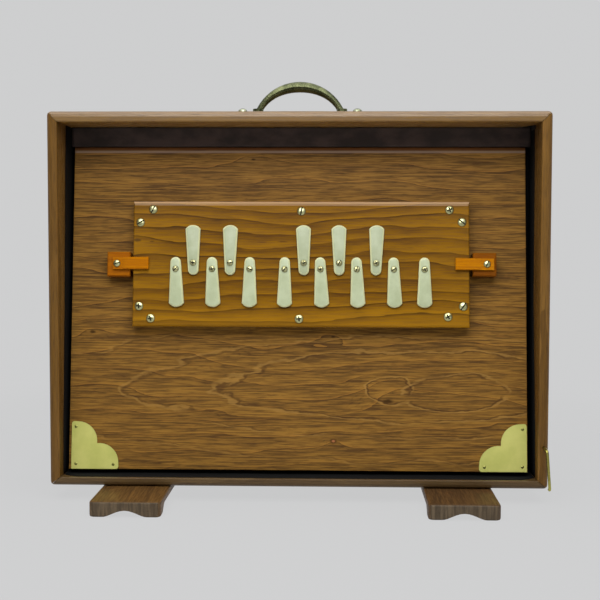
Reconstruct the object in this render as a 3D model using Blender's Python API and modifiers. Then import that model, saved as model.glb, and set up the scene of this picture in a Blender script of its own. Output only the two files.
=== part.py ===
"""A shruti box: a hand-pumped drone instrument in a wooden case.

World axes: +X to the right seen from the front, -Y out of the front, +Z up. The floor is z = 0, the
case stands on two feet, and y = 0 is the middle of its depth. Lengths are in metres.

The front panel is the moving wall of a reservoir. It hangs on a leather strip along its top edge and
a spring holds it open, so that it leans. Everything on it is placed in the panel's own frame, whose
origin is the hinge line: +X right, +Z up along the panel and +Y into the case. In that frame a place
is given by u (to the right), v (down from the top edge) and h (out from the panel's face).
"""

import math

import bmesh
import bpy
from mathutils import Matrix, Vector

MM = 0.001
GAP = 0.3 * MM

# Case
CASE_WIDTH = 400 * MM
CASE_HEIGHT = 300 * MM
CASE_DEPTH = 98 * MM
WALL = 8.5 * MM
BOTTOM_WALL = 6.8 * MM
FRONT_ROUND = 4.2 * MM
# How much of that rounding the outer corners and the inner front edges have
CORNER_ROUND_SHARE = 0.72
INNER_ROUND_SHARE = 0.24

# Feet
FOOT_THICKNESS = 12 * MM
FOOT_LENGTH = 206 * MM
FOOT_WIDTH = 55 * MM
FOOT_CORNER = 4 * MM
FOOT_EDGE_ROUND = 1.4 * MM
# The two arches under a foot: half the span, the rise, and the length of the curve at each end
FOOT_ARCH = (20 * MM, 5.2 * MM, 20 * MM)
FOOT_SIDE_ARCH = (96 * MM, 7.2 * MM, 17 * MM)
ARCH_START = 0.3 * MM  # how far below the ground an arch's curve starts
FOOT_LEFT_X = -130 * MM
FOOT_RIGHT_X = 128.2 * MM

# Handle
BOW_RADIUS = 40.2 * MM
BOW_CENTRE_DROP = 12.1 * MM
BOW_MIDDLE_THICKNESS = 8.8 * MM
BOW_END_THICKNESS = 5.2 * MM
FLANGE_THICKNESS = 3 * MM
FLANGE_HALF_DEPTH = 7 * MM
FLANGE_INNER_X = 30 * MM
COLLAR_ANGLE = 67  # degrees round the bow from its crown
COLLAR_RADIUS = 4.4 * MM
COLLAR_HEIGHT = 4.4 * MM
HANDLE_SCREW_X = 47.5 * MM
HANDLE_SCREW_HEAD = (4 * MM, 3 * MM)
HANDLE_SCREW_SHANK = (1.9 * MM, 9.5 * MM)
HANDLE_HOLE_RADIUS = 2.2 * MM
HANDLE_PILOT_DEPTH = 7 * MM

# Panel
TILT = math.radians(7.56)
PANEL_WIDTH = 375 * MM
PANEL_CENTRE_U = -1 * MM
PANEL_HEIGHT = 267.1 * MM
PANEL_THICKNESS = 9 * MM
PANEL_TOP_DEPTH = 52.53 * MM
PANEL_TOP_HEIGHT = 274.98 * MM
PANEL_TOP_ROUND = 4 * MM
PANEL_EDGE_ROUND_SHARE = 0.17
AIR_OPENING = (-118 * MM, 56.5 * MM, 112 * MM, 142.5 * MM)  # u, v of two corners

# Key board and the reed board behind it
KEY_BOARD = (-135.9 * MM, 47.6 * MM, 138.7 * MM, 150.5 * MM)
KEY_BOARD_TOP_ROUND = 3.4 * MM
KEY_BOARD_LOW_ROUND_SHARE = 0.6
KEY_BOARD_END_ROUND_SHARE = 0.3
KEY_BOARD_FACE = 13 * MM
REED_BOARD_FACE = 4.8 * MM
REED_BOARD_MARGIN = 1.2 * MM
CHAMBER_SIZE = (9 * MM, 38 * MM)
CHAMBER_SHIFT = 6 * MM  # from an air hole to its chamber's middle, towards the key's screw
REED_PLATE_SIZE = (12 * MM, 41 * MM)
REED_PLATE_THICKNESS = 1.4 * MM
REED_SLOT_SIZE = (3.2 * MM, 24 * MM)
REED_TONGUE_SIZE = (2.4 * MM, 25 * MM)
REED_TONGUE_SLIP = 2 * MM
REED_TONGUE_THICKNESS = 0.8 * MM
AIR_HOLE_RADIUS = 4 * MM

# Keys: where each one's screw is along the row, and how far it hangs off the upright, in degrees
LOWER_ROW_V = 103.5 * MM
UPPER_ROW_V = 98.4 * MM
LOWER_KEYS = (
    (-100.4, 1.7),
    (-70.7, 1.8),
    (-40.0, -0.2),
    (-11.5, 0.0),
    (17.6, 2.4),
    (47.1, 2.0),
    (77.1, 1.6),
    (102.0, 0.2),
)
UPPER_KEYS = ((-86.2, 1.0), (-56.1, -0.1), (4.0, 0.7), (32.8, 0.6), (62.8, -1.0))
KEY_LENGTH = 40.8 * MM
KEY_WIDE = 12.2 * MM
KEY_NARROW = 8.5 * MM
KEY_END_RADIUS = 7.4 * MM
KEY_THICKNESS = 3 * MM
KEY_PIVOT_FROM_TIP = 9.8 * MM
KEY_AIR_HOLE_FROM_PIVOT = 22 * MM
KEY_BEVEL = 0.6 * MM

# Round-headed screws of the keys and latches
SHANK_RADIUS = 1.4 * MM
SHANK_HOLE_RADIUS = 1.5 * MM
SHANK_LENGTH = 6 * MM
PILOT_DEPTH = 7.3 * MM
KEY_SCREW_HEAD = (2.55 * MM, 1.3 * MM)
LATCH_SCREW_HEAD = (2.9 * MM, 1.5 * MM)

# Latches: the block's corners, the arm's corners, the screw, and where the arm gets thicker
LEFT_BLOCK = (-157 * MM, 89.4 * MM, -138.2 * MM, 109.4 * MM)
LEFT_ARM = (-151.9 * MM, 93.8 * MM, -122.7 * MM, 103.8 * MM)
LEFT_LATCH_SCREW = (-148.6 * MM, 99.1 * MM)
RIGHT_BLOCK = (141.3 * MM, 89.5 * MM, 160.4 * MM, 108.5 * MM)
RIGHT_ARM = (127 * MM, 94.1 * MM, 158.2 * MM, 103.7 * MM)
RIGHT_LATCH_SCREW = (152.5 * MM, 98.9 * MM)
ARM_THICKNESS = 3 * MM
ARM_THIN = 2.3 * MM
ARM_STEP_FROM_SCREW = 5.2 * MM

# Corner guards
GUARD_SIZE = 38.8 * MM
GUARD_THICKNESS = 0.8 * MM
GUARD_LOBE_RADIUS = 16 * MM
GUARD_LOBE_CENTRE = (22.7 * MM, 5 * MM)
GUARD_NOSE_RADIUS = 2 * MM
GUARD_INSETS = (2.4 * MM, 0.8 * MM)  # from the panel's left and right edges
GUARD_BOTTOM_INSET = 0.3 * MM

# Hook
HOOK_RADIUS = 1.15 * MM
HOOK_X = 196.3 * MM
HOOK_HEIGHT = 33.6 * MM
HOOK_REACH = 14.5 * MM
HOOK_DROP = 31 * MM
HOOK_LEAN = 2.4 * MM  # how far its low end stands to the right of its bore
HOOK_BEND = 2.6 * MM
HOOK_TIP_BEND = 1.8 * MM
HOOK_TIP = 3.4 * MM
HOOK_BORE_DEPTH = 12 * MM

# Boards inside, as depths from the case's front
RAIL_DEPTHS = (53.2 * MM, 62 * MM)
PARTITION_DEPTHS = (62.3 * MM, 70.3 * MM)
PUMP_BOARD_DEPTHS = (86 * MM, 96 * MM)
VALVE_HOLES_X = (-44 * MM, 0, 44 * MM)
VALVE_HOLE_RADIUS = 11 * MM
INTAKE_VALVE_HEIGHT = 42 * MM
EXHAUST_VALVE_HEIGHT = 120 * MM
FLAP_SIZE = (132 * MM, 34 * MM)
FLAP_CORNER = 4 * MM
FLAP_THICKNESS = 1.2 * MM
FLAP_BATTEN = (126 * MM, 6 * MM, 0.4 * MM)  # its length, its height and how far it stands out
FINGER_GRIP = (100 * MM, 17 * MM, 6 * MM)

# Bellows
PLY = 0.35 * MM
FOLD_DEPTH = 14 * MM
RESERVOIR_PLIES = 6
PUMP_PLIES = 8
ROUTE_STEPS = 6  # stretches that each side of a bellows is lofted in
LEATHER = 0.5 * MM
STRIP = 0.4 * MM  # the thinner leather that the panel hangs on

# Reservoir spring: its width and thickness, and its fixed end, first bend and tip above the case's bottom
SPRING_WIDTH = 22 * MM
SPRING_THICKNESS = 0.9 * MM
SPRING_TOP = 180 * MM
SPRING_BEND = 152 * MM
SPRING_TIP = 62 * MM

BASE_Z = FOOT_THICKNESS + GAP
TOP_Z = BASE_Z + CASE_HEIGHT
FRONT_Y = -CASE_DEPTH / 2
INNER_X = CASE_WIDTH / 2 - WALL
HINGE_Y = FRONT_Y + PANEL_TOP_DEPTH
HINGE_Z = BASE_Z + PANEL_TOP_HEIGHT

# Turns that stand a flat outline up: to face front, or to be a profile seen from the side
FACING_FRONT = Matrix.Rotation(math.radians(90), 4, "X")
SEEN_FROM_SIDE = Matrix(((0, 0, 1, 0), (1, 0, 0, 0), (0, 1, 0, 0), (0, 0, 0, 1)))


def clear_scene():
    for obj in list(bpy.data.objects):
        bpy.data.objects.remove(obj, do_unlink=True)


def new_collection(name):
    collection = bpy.data.collections.new(name)
    bpy.context.scene.collection.children.link(collection)
    return collection


clear_scene()
PARTS = new_collection("shruti_box")
CUTTERS = new_collection("cutters")


def material(name, colour, roughness, metallic=0.0):
    """The material of that name, made at its first use."""
    found = bpy.data.materials.get(name)
    if found:
        return found
    made = bpy.data.materials.new(name)
    made.use_nodes = True
    shader = made.node_tree.nodes["Principled BSDF"]
    shader.inputs["Base Color"].default_value = (*colour, 1)
    shader.inputs["Roughness"].default_value = roughness
    shader.inputs["Metallic"].default_value = metallic
    return made


def case_wood():
    return material("case_wood", (0.16, 0.075, 0.035), 0.45)


def panel_wood():
    return material("panel_wood", (0.17, 0.08, 0.022), 0.5)


def key_board_wood():
    return material("key_board_wood", (0.34, 0.16, 0.03), 0.4)


def latch_wood():
    return material("latch_wood", (0.4, 0.12, 0.02), 0.35)


def plain_wood():
    return material("plain_wood", (0.42, 0.27, 0.14), 0.7)


def ivory_plastic():
    return material("ivory_plastic", (0.62, 0.66, 0.42), 0.35)


def brass():
    return material("brass", (0.62, 0.55, 0.22), 0.3, 1.0)


def spring_steel():
    return material("spring_steel", (0.35, 0.36, 0.38), 0.35, 1.0)


def leather():
    return material("leather", (0.3, 0.17, 0.09), 0.8)


def black_cloth():
    return material("black_cloth", (0.012, 0.012, 0.014), 0.9)


def add_node(name, mesh, finish, parent=None, location=(0, 0, 0), rotation=(0, 0, 0)):
    obj = bpy.data.objects.new(name, mesh)
    PARTS.objects.link(obj)
    obj.parent = parent
    obj.location = location
    obj.rotation_euler = rotation
    if not mesh.materials:
        mesh.materials.append(finish)
    return obj


def add_cutter(name, mesh, parent=None, location=(0, 0, 0)):
    obj = bpy.data.objects.new(name, mesh)
    CUTTERS.objects.link(obj)
    obj.parent = parent
    obj.location = location
    obj.hide_render = True
    obj.display_type = "WIRE"
    return obj


def boolean(obj, operand, operation="DIFFERENCE"):
    modifier = obj.modifiers.new(operand.name, "BOOLEAN")
    modifier.operation = operation
    modifier.solver = "EXACT"
    modifier.object = operand


def bevel(obj, width, segments=1, angle=50):
    modifier = obj.modifiers.new("rounded_edges", "BEVEL")
    modifier.width = width
    modifier.segments = segments
    modifier.limit_method = "ANGLE"
    modifier.angle_limit = math.radians(angle)


def bevel_chosen(obj, width, segments, share):
    """Rounds only the edges for which share(end, other_end) isn't 0, by that share of the width."""
    mesh = obj.data
    weights = mesh.attributes.new("bevel_weight_edge", "FLOAT", "EDGE")
    for edge in mesh.edges:
        first, second = (mesh.vertices[i].co for i in edge.vertices)
        weights.data[edge.index].value = share(first, second)
    modifier = obj.modifiers.new("rounded_edges", "BEVEL")
    modifier.width = width
    modifier.segments = segments
    modifier.limit_method = "WEIGHT"


def boxes_mesh(name, boxes):
    """One mesh of boxes, each given by two opposite corners."""
    mesh = bpy.data.meshes.new(name)
    bm = bmesh.new()
    for low, high in boxes:
        size = [abs(b - a) for a, b in zip(low, high)]
        middle = (Vector(high) + Vector(low)) / 2
        place = Matrix.Translation(middle) @ Matrix.Diagonal((*size, 1))
        bmesh.ops.create_cube(bm, size=1, matrix=place)
    bm.to_mesh(mesh)
    bm.free()
    return mesh


def box(name, low, high, finish, parent=None):
    """A box whose origin is its middle."""
    half = (Vector(high) - Vector(low)) / 2
    mesh = boxes_mesh(name, [(-half, half)])
    return add_node(name, mesh, finish, parent, (Vector(high) + Vector(low)) / 2)


def rods_mesh(name, places, radius, length, along_y=False, segments=12):
    """One mesh of round rods of one size, upright or along Y, centred on these places."""
    mesh = bpy.data.meshes.new(name)
    bm = bmesh.new()
    turn = FACING_FRONT if along_y else Matrix.Identity(4)
    for place in places:
        bmesh.ops.create_cone(
            bm,
            cap_ends=True,
            segments=segments,
            radius1=radius,
            radius2=radius,
            depth=length,
            matrix=Matrix.Translation(place) @ turn,
        )
    bm.to_mesh(mesh)
    bm.free()
    return mesh


def evaluated_mesh(name, obj):
    """The object's shape with its modifiers, as a closed mesh. The object is removed."""
    bpy.context.view_layer.update()
    graph = bpy.context.evaluated_depsgraph_get()
    mesh = bpy.data.meshes.new_from_object(obj.evaluated_get(graph))
    mesh.name = name
    bpy.data.objects.remove(obj, do_unlink=True)
    bm = bmesh.new()
    bm.from_mesh(mesh)
    bmesh.ops.remove_doubles(bm, verts=bm.verts, dist=0.005 * MM)
    bmesh.ops.dissolve_limit(bm, angle_limit=0.001, verts=bm.verts, edges=bm.edges)
    bmesh.ops.recalc_face_normals(bm, faces=bm.faces)
    bm.to_mesh(mesh)
    bm.free()
    return mesh


def plate_mesh(name, outline, thickness, turn=None):
    """A flat piece of this outline, its thickness centred on the outline's plane."""
    curve = bpy.data.curves.new(name, "CURVE")
    curve.dimensions = "2D"
    curve.fill_mode = "BOTH"
    curve.extrude = thickness / 2
    spline = curve.splines.new("POLY")
    spline.points.add(len(outline) - 1)
    for point, (x, y) in zip(spline.points, outline):
        point.co = (x, y, 0, 1)
    spline.use_cyclic_u = True
    guide = bpy.data.objects.new(name, curve)
    CUTTERS.objects.link(guide)
    mesh = evaluated_mesh(name, guide)
    if turn:
        mesh.transform(turn)
    return mesh


def turned_mesh(name, profile, segments=12):
    """A turned shape from its profile of (radius, height) points, listed from top to bottom."""
    outline = bpy.data.meshes.new(name)
    points = [(radius, 0, height) for radius, height in profile]
    outline.from_pydata(points, [(i, i + 1) for i in range(len(points) - 1)], [])
    guide = bpy.data.objects.new(name, outline)
    CUTTERS.objects.link(guide)
    screw = guide.modifiers.new("turned", "SCREW")
    screw.steps = segments
    screw.render_steps = segments
    screw.use_merge_vertices = True
    screw.merge_threshold = 0.01 * MM
    return evaluated_mesh(name, guide)


def arc(centre, radius, start, end, steps):
    """Points on an arc, from the start angle to the end angle in degrees, both included."""
    angles = [math.radians(start + (end - start) * i / steps) for i in range(steps + 1)]
    return [(centre[0] + radius * math.cos(a), centre[1] + radius * math.sin(a)) for a in angles]


def rounded_rectangle(width, height, corner, steps):
    """A rectangle's outline round the origin, with round corners."""
    x = width / 2 - corner
    y = height / 2 - corner
    points = []
    for i, (side_x, side_y) in enumerate(((1, 1), (-1, 1), (-1, -1), (1, -1))):
        points += arc((side_x * x, side_y * y), corner, 90 * i, 90 * (i + 1), steps)
    return points


def strip_outline(line, thickness):
    """The closed outline of a strip of this thickness along a line of points."""
    sides = ([], [])
    for i, point in enumerate(line):
        before = Vector(line[max(i - 1, 0)])
        after = Vector(line[min(i + 1, len(line) - 1)])
        along = (after - before).normalized()
        across = Vector((-along.y, along.x)) * thickness / 2
        sides[0].append(tuple(Vector(point) - across))
        sides[1].append(tuple(Vector(point) + across))
    return sides[0] + sides[1][::-1]


def on_panel(u, v, h=0.0):
    """A place in the panel's frame."""
    return Vector((u, -h, -v))


def add_axis(name, location, rotation=(0, 0, 0)):
    empty = bpy.data.objects.new(name, None)
    PARTS.objects.link(empty)
    empty.location = location
    empty.rotation_euler = rotation
    return empty


def case_ring_mesh():
    """The case's frame in one piece with square edges, round its own middle."""
    bm = bmesh.new()
    size = Matrix.Diagonal((CASE_WIDTH, CASE_HEIGHT, 1, 1))
    bmesh.ops.create_grid(bm, x_segments=1, y_segments=1, size=0.5, matrix=size)
    faces = bm.faces[:]
    bmesh.ops.inset_region(bm, faces=faces, thickness=WALL, use_even_offset=True, use_boundary=True)
    inside = min(bm.faces, key=lambda face: face.calc_center_median().length)
    for vert in inside.verts:
        if vert.co.y < 0:
            vert.co.y -= WALL - BOTTOM_WALL
    bmesh.ops.delete(bm, geom=[inside], context="FACES_ONLY")
    bmesh.ops.solidify(bm, geom=bm.faces[:], thickness=CASE_DEPTH)
    low = min(vert.co.z for vert in bm.verts)
    bmesh.ops.translate(bm, verts=bm.verts, vec=(0, 0, -low - CASE_DEPTH / 2))
    bmesh.ops.recalc_face_normals(bm, faces=bm.faces)
    mesh = bpy.data.meshes.new("case_ring")
    bm.to_mesh(mesh)
    bm.free()
    mesh.transform(FACING_FRONT)
    return mesh


def case_edge_share(first, second):
    """How far an edge of the case's frame is rounded, as a share of the front edges' rounding."""

    def is_outer(point):
        return abs(point.x) > CASE_WIDTH / 2 - GAP or abs(point.z) > CASE_HEIGHT / 2 - GAP

    if is_outer(first) != is_outer(second):
        return 0.0
    runs_back = abs(first.y - second.y) > GAP
    if is_outer(first):
        return CORNER_ROUND_SHARE if runs_back else 1.0
    return 0.0 if runs_back else INNER_ROUND_SHARE


def add_case_board(name, ends, along):
    """One board of the frame, mitred at both ends.

    An end is its outer and its inner corner, seen from the front. `along` runs from the first end
    to the second.
    """
    place = (0, 0, BASE_Z + CASE_HEIGHT / 2)
    board = add_node(name, case_ring_mesh(), case_wood(), None, place)
    bevel_chosen(board, FRONT_ROUND, 3, case_edge_share)
    cuts = []
    for (outer, inner), way in zip(ends, (1, -1)):
        mitre = Vector(outer) - Vector(inner)
        slip = Vector(along) * way * GAP / math.sqrt(2)
        cuts.append((Vector(outer) + 2 * mitre + slip, Vector(inner) - 2 * mitre + slip))
    outline = [cuts[0][0], cuts[1][0], cuts[1][1], cuts[0][1]]
    wedge = plate_mesh(name + "_mitres", outline, 2 * CASE_DEPTH, FACING_FRONT)
    boolean(board, add_cutter(name + "_mitres", wedge, None, place), "INTERSECT")
    return board


def make_case():
    x = CASE_WIDTH / 2
    z = CASE_HEIGHT / 2
    top_left = (-x, z), (-INNER_X, z - WALL)
    top_right = (x, z), (INNER_X, z - WALL)
    low_left = (-x, -z), (-INNER_X, BOTTOM_WALL - z)
    low_right = (x, -z), (INNER_X, BOTTOM_WALL - z)
    top = add_case_board("case_top_board", (top_left, top_right), (1, 0))
    add_case_board("case_bottom_board", (low_left, low_right), (1, 0))
    add_case_board("case_left_board", (low_left, top_left), (0, 1))
    side = add_case_board("case_right_board", (low_right, top_right), (0, 1))
    pilots = [(x, 0, TOP_Z) for x in (-HANDLE_SCREW_X, HANDLE_SCREW_X)]
    pilot_mesh = rods_mesh("handle_pilots", pilots, HANDLE_HOLE_RADIUS, 2 * HANDLE_PILOT_DEPTH)
    boolean(top, add_cutter("handle_pilots", pilot_mesh))
    bore = [(HOOK_X, FRONT_Y, BASE_Z + HOOK_HEIGHT)]
    bore_mesh = rods_mesh("hook_bore", bore, HOOK_RADIUS + GAP, 2 * HOOK_BORE_DEPTH, along_y=True)
    boolean(side, add_cutter("hook_bore", bore_mesh))


def arch_outline(half_span, rise, curve_length):
    """An arch that curves up off the ground and is level at its crown, closed below the ground."""
    steps = 6
    climb = []
    for i in range(steps + 1):
        share = i / steps
        height = (rise + ARCH_START) * (1 - math.cos(math.pi * share)) / 2 - ARCH_START
        climb.append((half_span - curve_length * share, height))
    other_side = [(-x, height) for x, height in climb[::-1]]
    if curve_length == half_span:
        other_side = other_side[1:]
    below = -FOOT_THICKNESS / 2
    return climb + other_side + [(-half_span, below), (half_span, below)]


def add_foot(name, x):
    """A board across the case's depth, arched both ways underneath so that it stands on four pads."""
    mesh = plate_mesh(name, rounded_rectangle(FOOT_WIDTH, FOOT_LENGTH, FOOT_CORNER, 3), FOOT_THICKNESS)
    foot = add_node(name, mesh, case_wood(), None, (x, 0, FOOT_THICKNESS / 2))
    bevel(foot, FOOT_EDGE_ROUND, 2)
    across = plate_mesh(name + "_arch", arch_outline(*FOOT_ARCH), 1.5 * FOOT_LENGTH, FACING_FRONT)
    boolean(foot, add_cutter(name + "_arch", across, None, (x, 0, 0)))
    along = plate_mesh(name + "_side_arch", arch_outline(*FOOT_SIDE_ARCH), 2 * FOOT_WIDTH, SEEN_FROM_SIDE)
    boolean(foot, add_cutter(name + "_side_arch", along, None, (x, 0, 0)))


def bow_mesh():
    """The handle's bow: an arc whose thickness swells from the ends to the middle."""
    end_height = BOW_CENTRE_DROP + 0.6 * FLANGE_THICKNESS
    end_angle = math.degrees(math.acos(end_height / (BOW_RADIUS - BOW_END_THICKNESS / 2)))
    steps = 22
    curve = bpy.data.curves.new("bow", "CURVE")
    curve.dimensions = "3D"
    curve.bevel_depth = MM
    curve.bevel_resolution = 4
    curve.use_fill_caps = True
    spline = curve.splines.new("POLY")
    spline.points.add(steps)
    for i, point in enumerate(spline.points):
        share = 2 * i / steps - 1
        angle = math.radians(end_angle * share)
        swell = math.cos(math.pi / 2 * share) ** 2
        thickness = BOW_END_THICKNESS + (BOW_MIDDLE_THICKNESS - BOW_END_THICKNESS) * swell
        reach = BOW_RADIUS - thickness / 2
        point.co = (reach * math.sin(angle), 0, reach * math.cos(angle) - BOW_CENTRE_DROP, 1)
        point.radius = thickness / 2 / MM
    guide = bpy.data.objects.new("bow", curve)
    CUTTERS.objects.link(guide)
    return evaluated_mesh("bow", guide)


def flange_mesh(side):
    """A flange with a round outer end, pierced for its screw."""
    end = arc((HANDLE_SCREW_X, 0), FLANGE_HALF_DEPTH, -90, 90, 8)
    outline = [(FLANGE_INNER_X, FLANGE_HALF_DEPTH), (FLANGE_INNER_X, -FLANGE_HALF_DEPTH)] + end
    mesh = plate_mesh("flange", outline, FLANGE_THICKNESS)
    if side < 0:
        mesh.transform(Matrix.Rotation(math.pi, 4, "Z"))
    mesh.transform(Matrix.Translation((0, 0, FLANGE_THICKNESS / 2)))
    return mesh


def make_handle():
    place = (0, 0, TOP_Z + GAP)
    handle = add_node("handle", bow_mesh(), brass(), None, place)
    foot_x = (BOW_RADIUS - BOW_END_THICKNESS / 2) * math.sin(math.radians(COLLAR_ANGLE))
    collars = [(x, 0, FLANGE_THICKNESS + 0.6 * MM) for x in (-foot_x, foot_x)]
    collar_mesh = rods_mesh("handle_collars", collars, COLLAR_RADIUS, COLLAR_HEIGHT, segments=16)
    boolean(handle, add_cutter("handle_collars", collar_mesh, None, place), "UNION")
    for side, word in ((-1, "left"), (1, "right")):
        flange = add_cutter("handle_flange_" + word, flange_mesh(side), None, place)
        boolean(handle, flange, "UNION")
    holes = [(x, 0, 0) for x in (-HANDLE_SCREW_X, HANDLE_SCREW_X)]
    hole_mesh = rods_mesh("handle_holes", holes, HANDLE_HOLE_RADIUS, 4 * FLANGE_THICKNESS)
    boolean(handle, add_cutter("handle_holes", hole_mesh, None, place))
    radius, height = HANDLE_SCREW_HEAD
    head = [(radius * math.sin(a), height * math.cos(a)) for a in map(math.radians, (0, 25, 50, 72, 90))]
    shank_radius, shank_length = HANDLE_SCREW_SHANK
    shank = [(shank_radius, 0), (shank_radius, MM - shank_length), (0, -shank_length)]
    screw = turned_mesh("handle_screw", head + shank, 16)
    head_z = TOP_Z + FLANGE_THICKNESS + 2 * GAP
    add_node("handle_screw_left", screw, brass(), None, (-HANDLE_SCREW_X, 0, head_z))
    add_node("handle_screw_right", screw, brass(), None, (HANDLE_SCREW_X, 0, head_z))


def make_hook():
    """A square-bend hook: out of the right board's front edge, down, and its tip turned back."""
    upper = arc((HOOK_BEND - HOOK_REACH, -HOOK_BEND), HOOK_BEND, 90, 180, 3)
    lower = arc((HOOK_TIP_BEND - HOOK_REACH, HOOK_TIP_BEND - HOOK_DROP), HOOK_TIP_BEND, 180, 270, 3)
    side_view = [(HOOK_BORE_DEPTH - MM, 0), *upper, *lower, (HOOK_TIP - HOOK_REACH, -HOOK_DROP)]
    points = [(HOOK_LEAN * -z / HOOK_DROP, y, z) for y, z in side_view]
    curve = bpy.data.curves.new("lock_hook", "CURVE")
    curve.dimensions = "3D"
    curve.bevel_depth = HOOK_RADIUS
    curve.bevel_resolution = 2
    curve.use_fill_caps = True
    spline = curve.splines.new("POLY")
    spline.points.add(len(points) - 1)
    for point, (x, y, z) in zip(spline.points, points):
        point.co = (x, y, z, 1)
    guide = bpy.data.objects.new("lock_hook", curve)
    CUTTERS.objects.link(guide)
    place = (HOOK_X, FRONT_Y, BASE_Z + HOOK_HEIGHT)
    add_node("lock_hook", evaluated_mesh("lock_hook", guide), brass(), None, place)


def make_partition():
    """The board between reservoir and pump, its holes and the leather flap behind them."""
    near, far = (FRONT_Y + depth for depth in PARTITION_DEPTHS)
    low_z = BASE_Z + BOTTOM_WALL + GAP
    high_z = TOP_Z - WALL - GAP
    board = box(
        "partition_board", (-INNER_X + GAP, near, low_z), (INNER_X - GAP, far, high_z), plain_wood()
    )
    holes = [(x, near, BASE_Z + INTAKE_VALVE_HEIGHT) for x in VALVE_HOLES_X]
    hole_mesh = rods_mesh("intake_holes", holes, VALVE_HOLE_RADIUS, 40 * MM, along_y=True, segments=20)
    boolean(board, add_cutter("intake_holes", hole_mesh))
    add_flap("partition_valve_flap", far + GAP, BASE_Z + INTAKE_VALVE_HEIGHT)
    rail_near, rail_far = (FRONT_Y + depth for depth in RAIL_DEPTHS)
    rail_low = HINGE_Z + MM
    box("hinge_rail", (-INNER_X + GAP, rail_near, rail_low), (INNER_X - GAP, rail_far, high_z), plain_wood())


def add_flap(name, near, middle_z, parent=None):
    """A leather flap over a row of three holes, held along its top by a thin batten glued to it."""
    outline = rounded_rectangle(*FLAP_SIZE, FLAP_CORNER, 2)
    mesh = plate_mesh(name, outline, FLAP_THICKNESS, FACING_FRONT)
    middle = Vector((0, near + FLAP_THICKNESS / 2, middle_z))
    offset = parent.location if parent else Vector((0, 0, 0))
    flap = add_node(name, mesh, leather(), parent, middle - offset)
    length, height, out = FLAP_BATTEN
    top = FLAP_SIZE[1] / 2 + 2 * MM
    low = (-length / 2, -FLAP_THICKNESS / 4, top - height)
    high = (length / 2, FLAP_THICKNESS / 2 + out, top)
    batten = boxes_mesh(name + "_batten", [(low, high)])
    boolean(flap, add_cutter(name + "_batten", batten, parent, middle - offset), "UNION")


def make_panel(axis):
    """The leaning panel, cut away behind the key board to let air through."""
    half = PANEL_WIDTH / 2
    low = on_panel(PANEL_CENTRE_U - half, PANEL_HEIGHT, 0)
    high = on_panel(PANEL_CENTRE_U + half, 0, -PANEL_THICKNESS)
    panel = box("front_panel", low, high, panel_wood(), axis)

    def share(first, second):
        in_front = max(first.y, second.y) < 0
        if not in_front:
            return 0.0
        along_top = min(first.z, second.z) > 0
        return 1.0 if along_top else PANEL_EDGE_ROUND_SHARE

    bevel_chosen(panel, PANEL_TOP_ROUND, 3, share)
    left, top, right, bottom = AIR_OPENING
    opening = boxes_mesh("air_opening", [(on_panel(left, bottom, 5 * MM), on_panel(right, top, -20 * MM))])
    boolean(panel, add_cutter("air_opening", opening, axis))


def key_places():
    """(name stem, number, u, v of the screw, hang, way down to the wide end) for every key."""
    lower = [("lower", i + 1, u * MM, LOWER_ROW_V, hang, 1) for i, (u, hang) in enumerate(LOWER_KEYS)]
    upper = [("upper", i + 1, u * MM, UPPER_ROW_V, hang, -1) for i, (u, hang) in enumerate(UPPER_KEYS)]
    return lower + upper


def air_hole_places(h):
    """Where each key covers its air hole, at this height above the panel."""
    places = []
    for _, _, u, v, hang, down in key_places():
        aside = KEY_AIR_HOLE_FROM_PIVOT * math.sin(math.radians(hang)) * down
        places.append(on_panel(u + aside, v + down * KEY_AIR_HOLE_FROM_PIVOT, h))
    return places


def around(places, size, h_low, h_high, slip=0.0):
    """A box of this size round each place, from one height above the panel to another."""
    boxes = []
    for place in places:
        low = (place.x - size[0] / 2, -h_high, place.z - size[1] / 2 + slip)
        high = (place.x + size[0] / 2, -h_low, place.z + size[1] / 2 + slip)
        boxes.append((low, high))
    return boxes


def make_reed_board(axis):
    """A board with a chamber behind every air hole and a brass reed at the back of each chamber."""
    left, top, right, bottom = KEY_BOARD
    margin = REED_BOARD_MARGIN
    low = on_panel(left + margin, bottom - margin, REED_BOARD_FACE)
    high = on_panel(right - margin, top + margin, GAP)
    board = box("reed_board", low, high, plain_wood(), axis)
    shift = Vector((0, 0, CHAMBER_SHIFT))
    row_middle = -(LOWER_ROW_V + UPPER_ROW_V) / 2
    middles = [hole + shift if hole.z < row_middle else hole - shift for hole in air_hole_places(0)]
    back = -REED_PLATE_THICKNESS
    front = GAP + REED_TONGUE_THICKNESS
    through = (-2 * REED_BOARD_FACE, 4 * REED_BOARD_FACE)
    chambers = boxes_mesh("chambers", around(middles, CHAMBER_SIZE, *through))
    boolean(board, add_cutter("chambers", chambers, axis))
    plates = boxes_mesh("reed_plates", around(middles, REED_PLATE_SIZE, back, front / 2))
    boolean(board, add_cutter("reed_plates", plates, axis), "UNION")
    slots = boxes_mesh("reed_slots", around(middles, REED_SLOT_SIZE, *through))
    boolean(board, add_cutter("reed_slots", slots, axis))
    tongues = boxes_mesh("reed_tongues", around(middles, REED_TONGUE_SIZE, GAP, front, REED_TONGUE_SLIP))
    boolean(board, add_cutter("reed_tongues", tongues, axis), "UNION")


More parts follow.
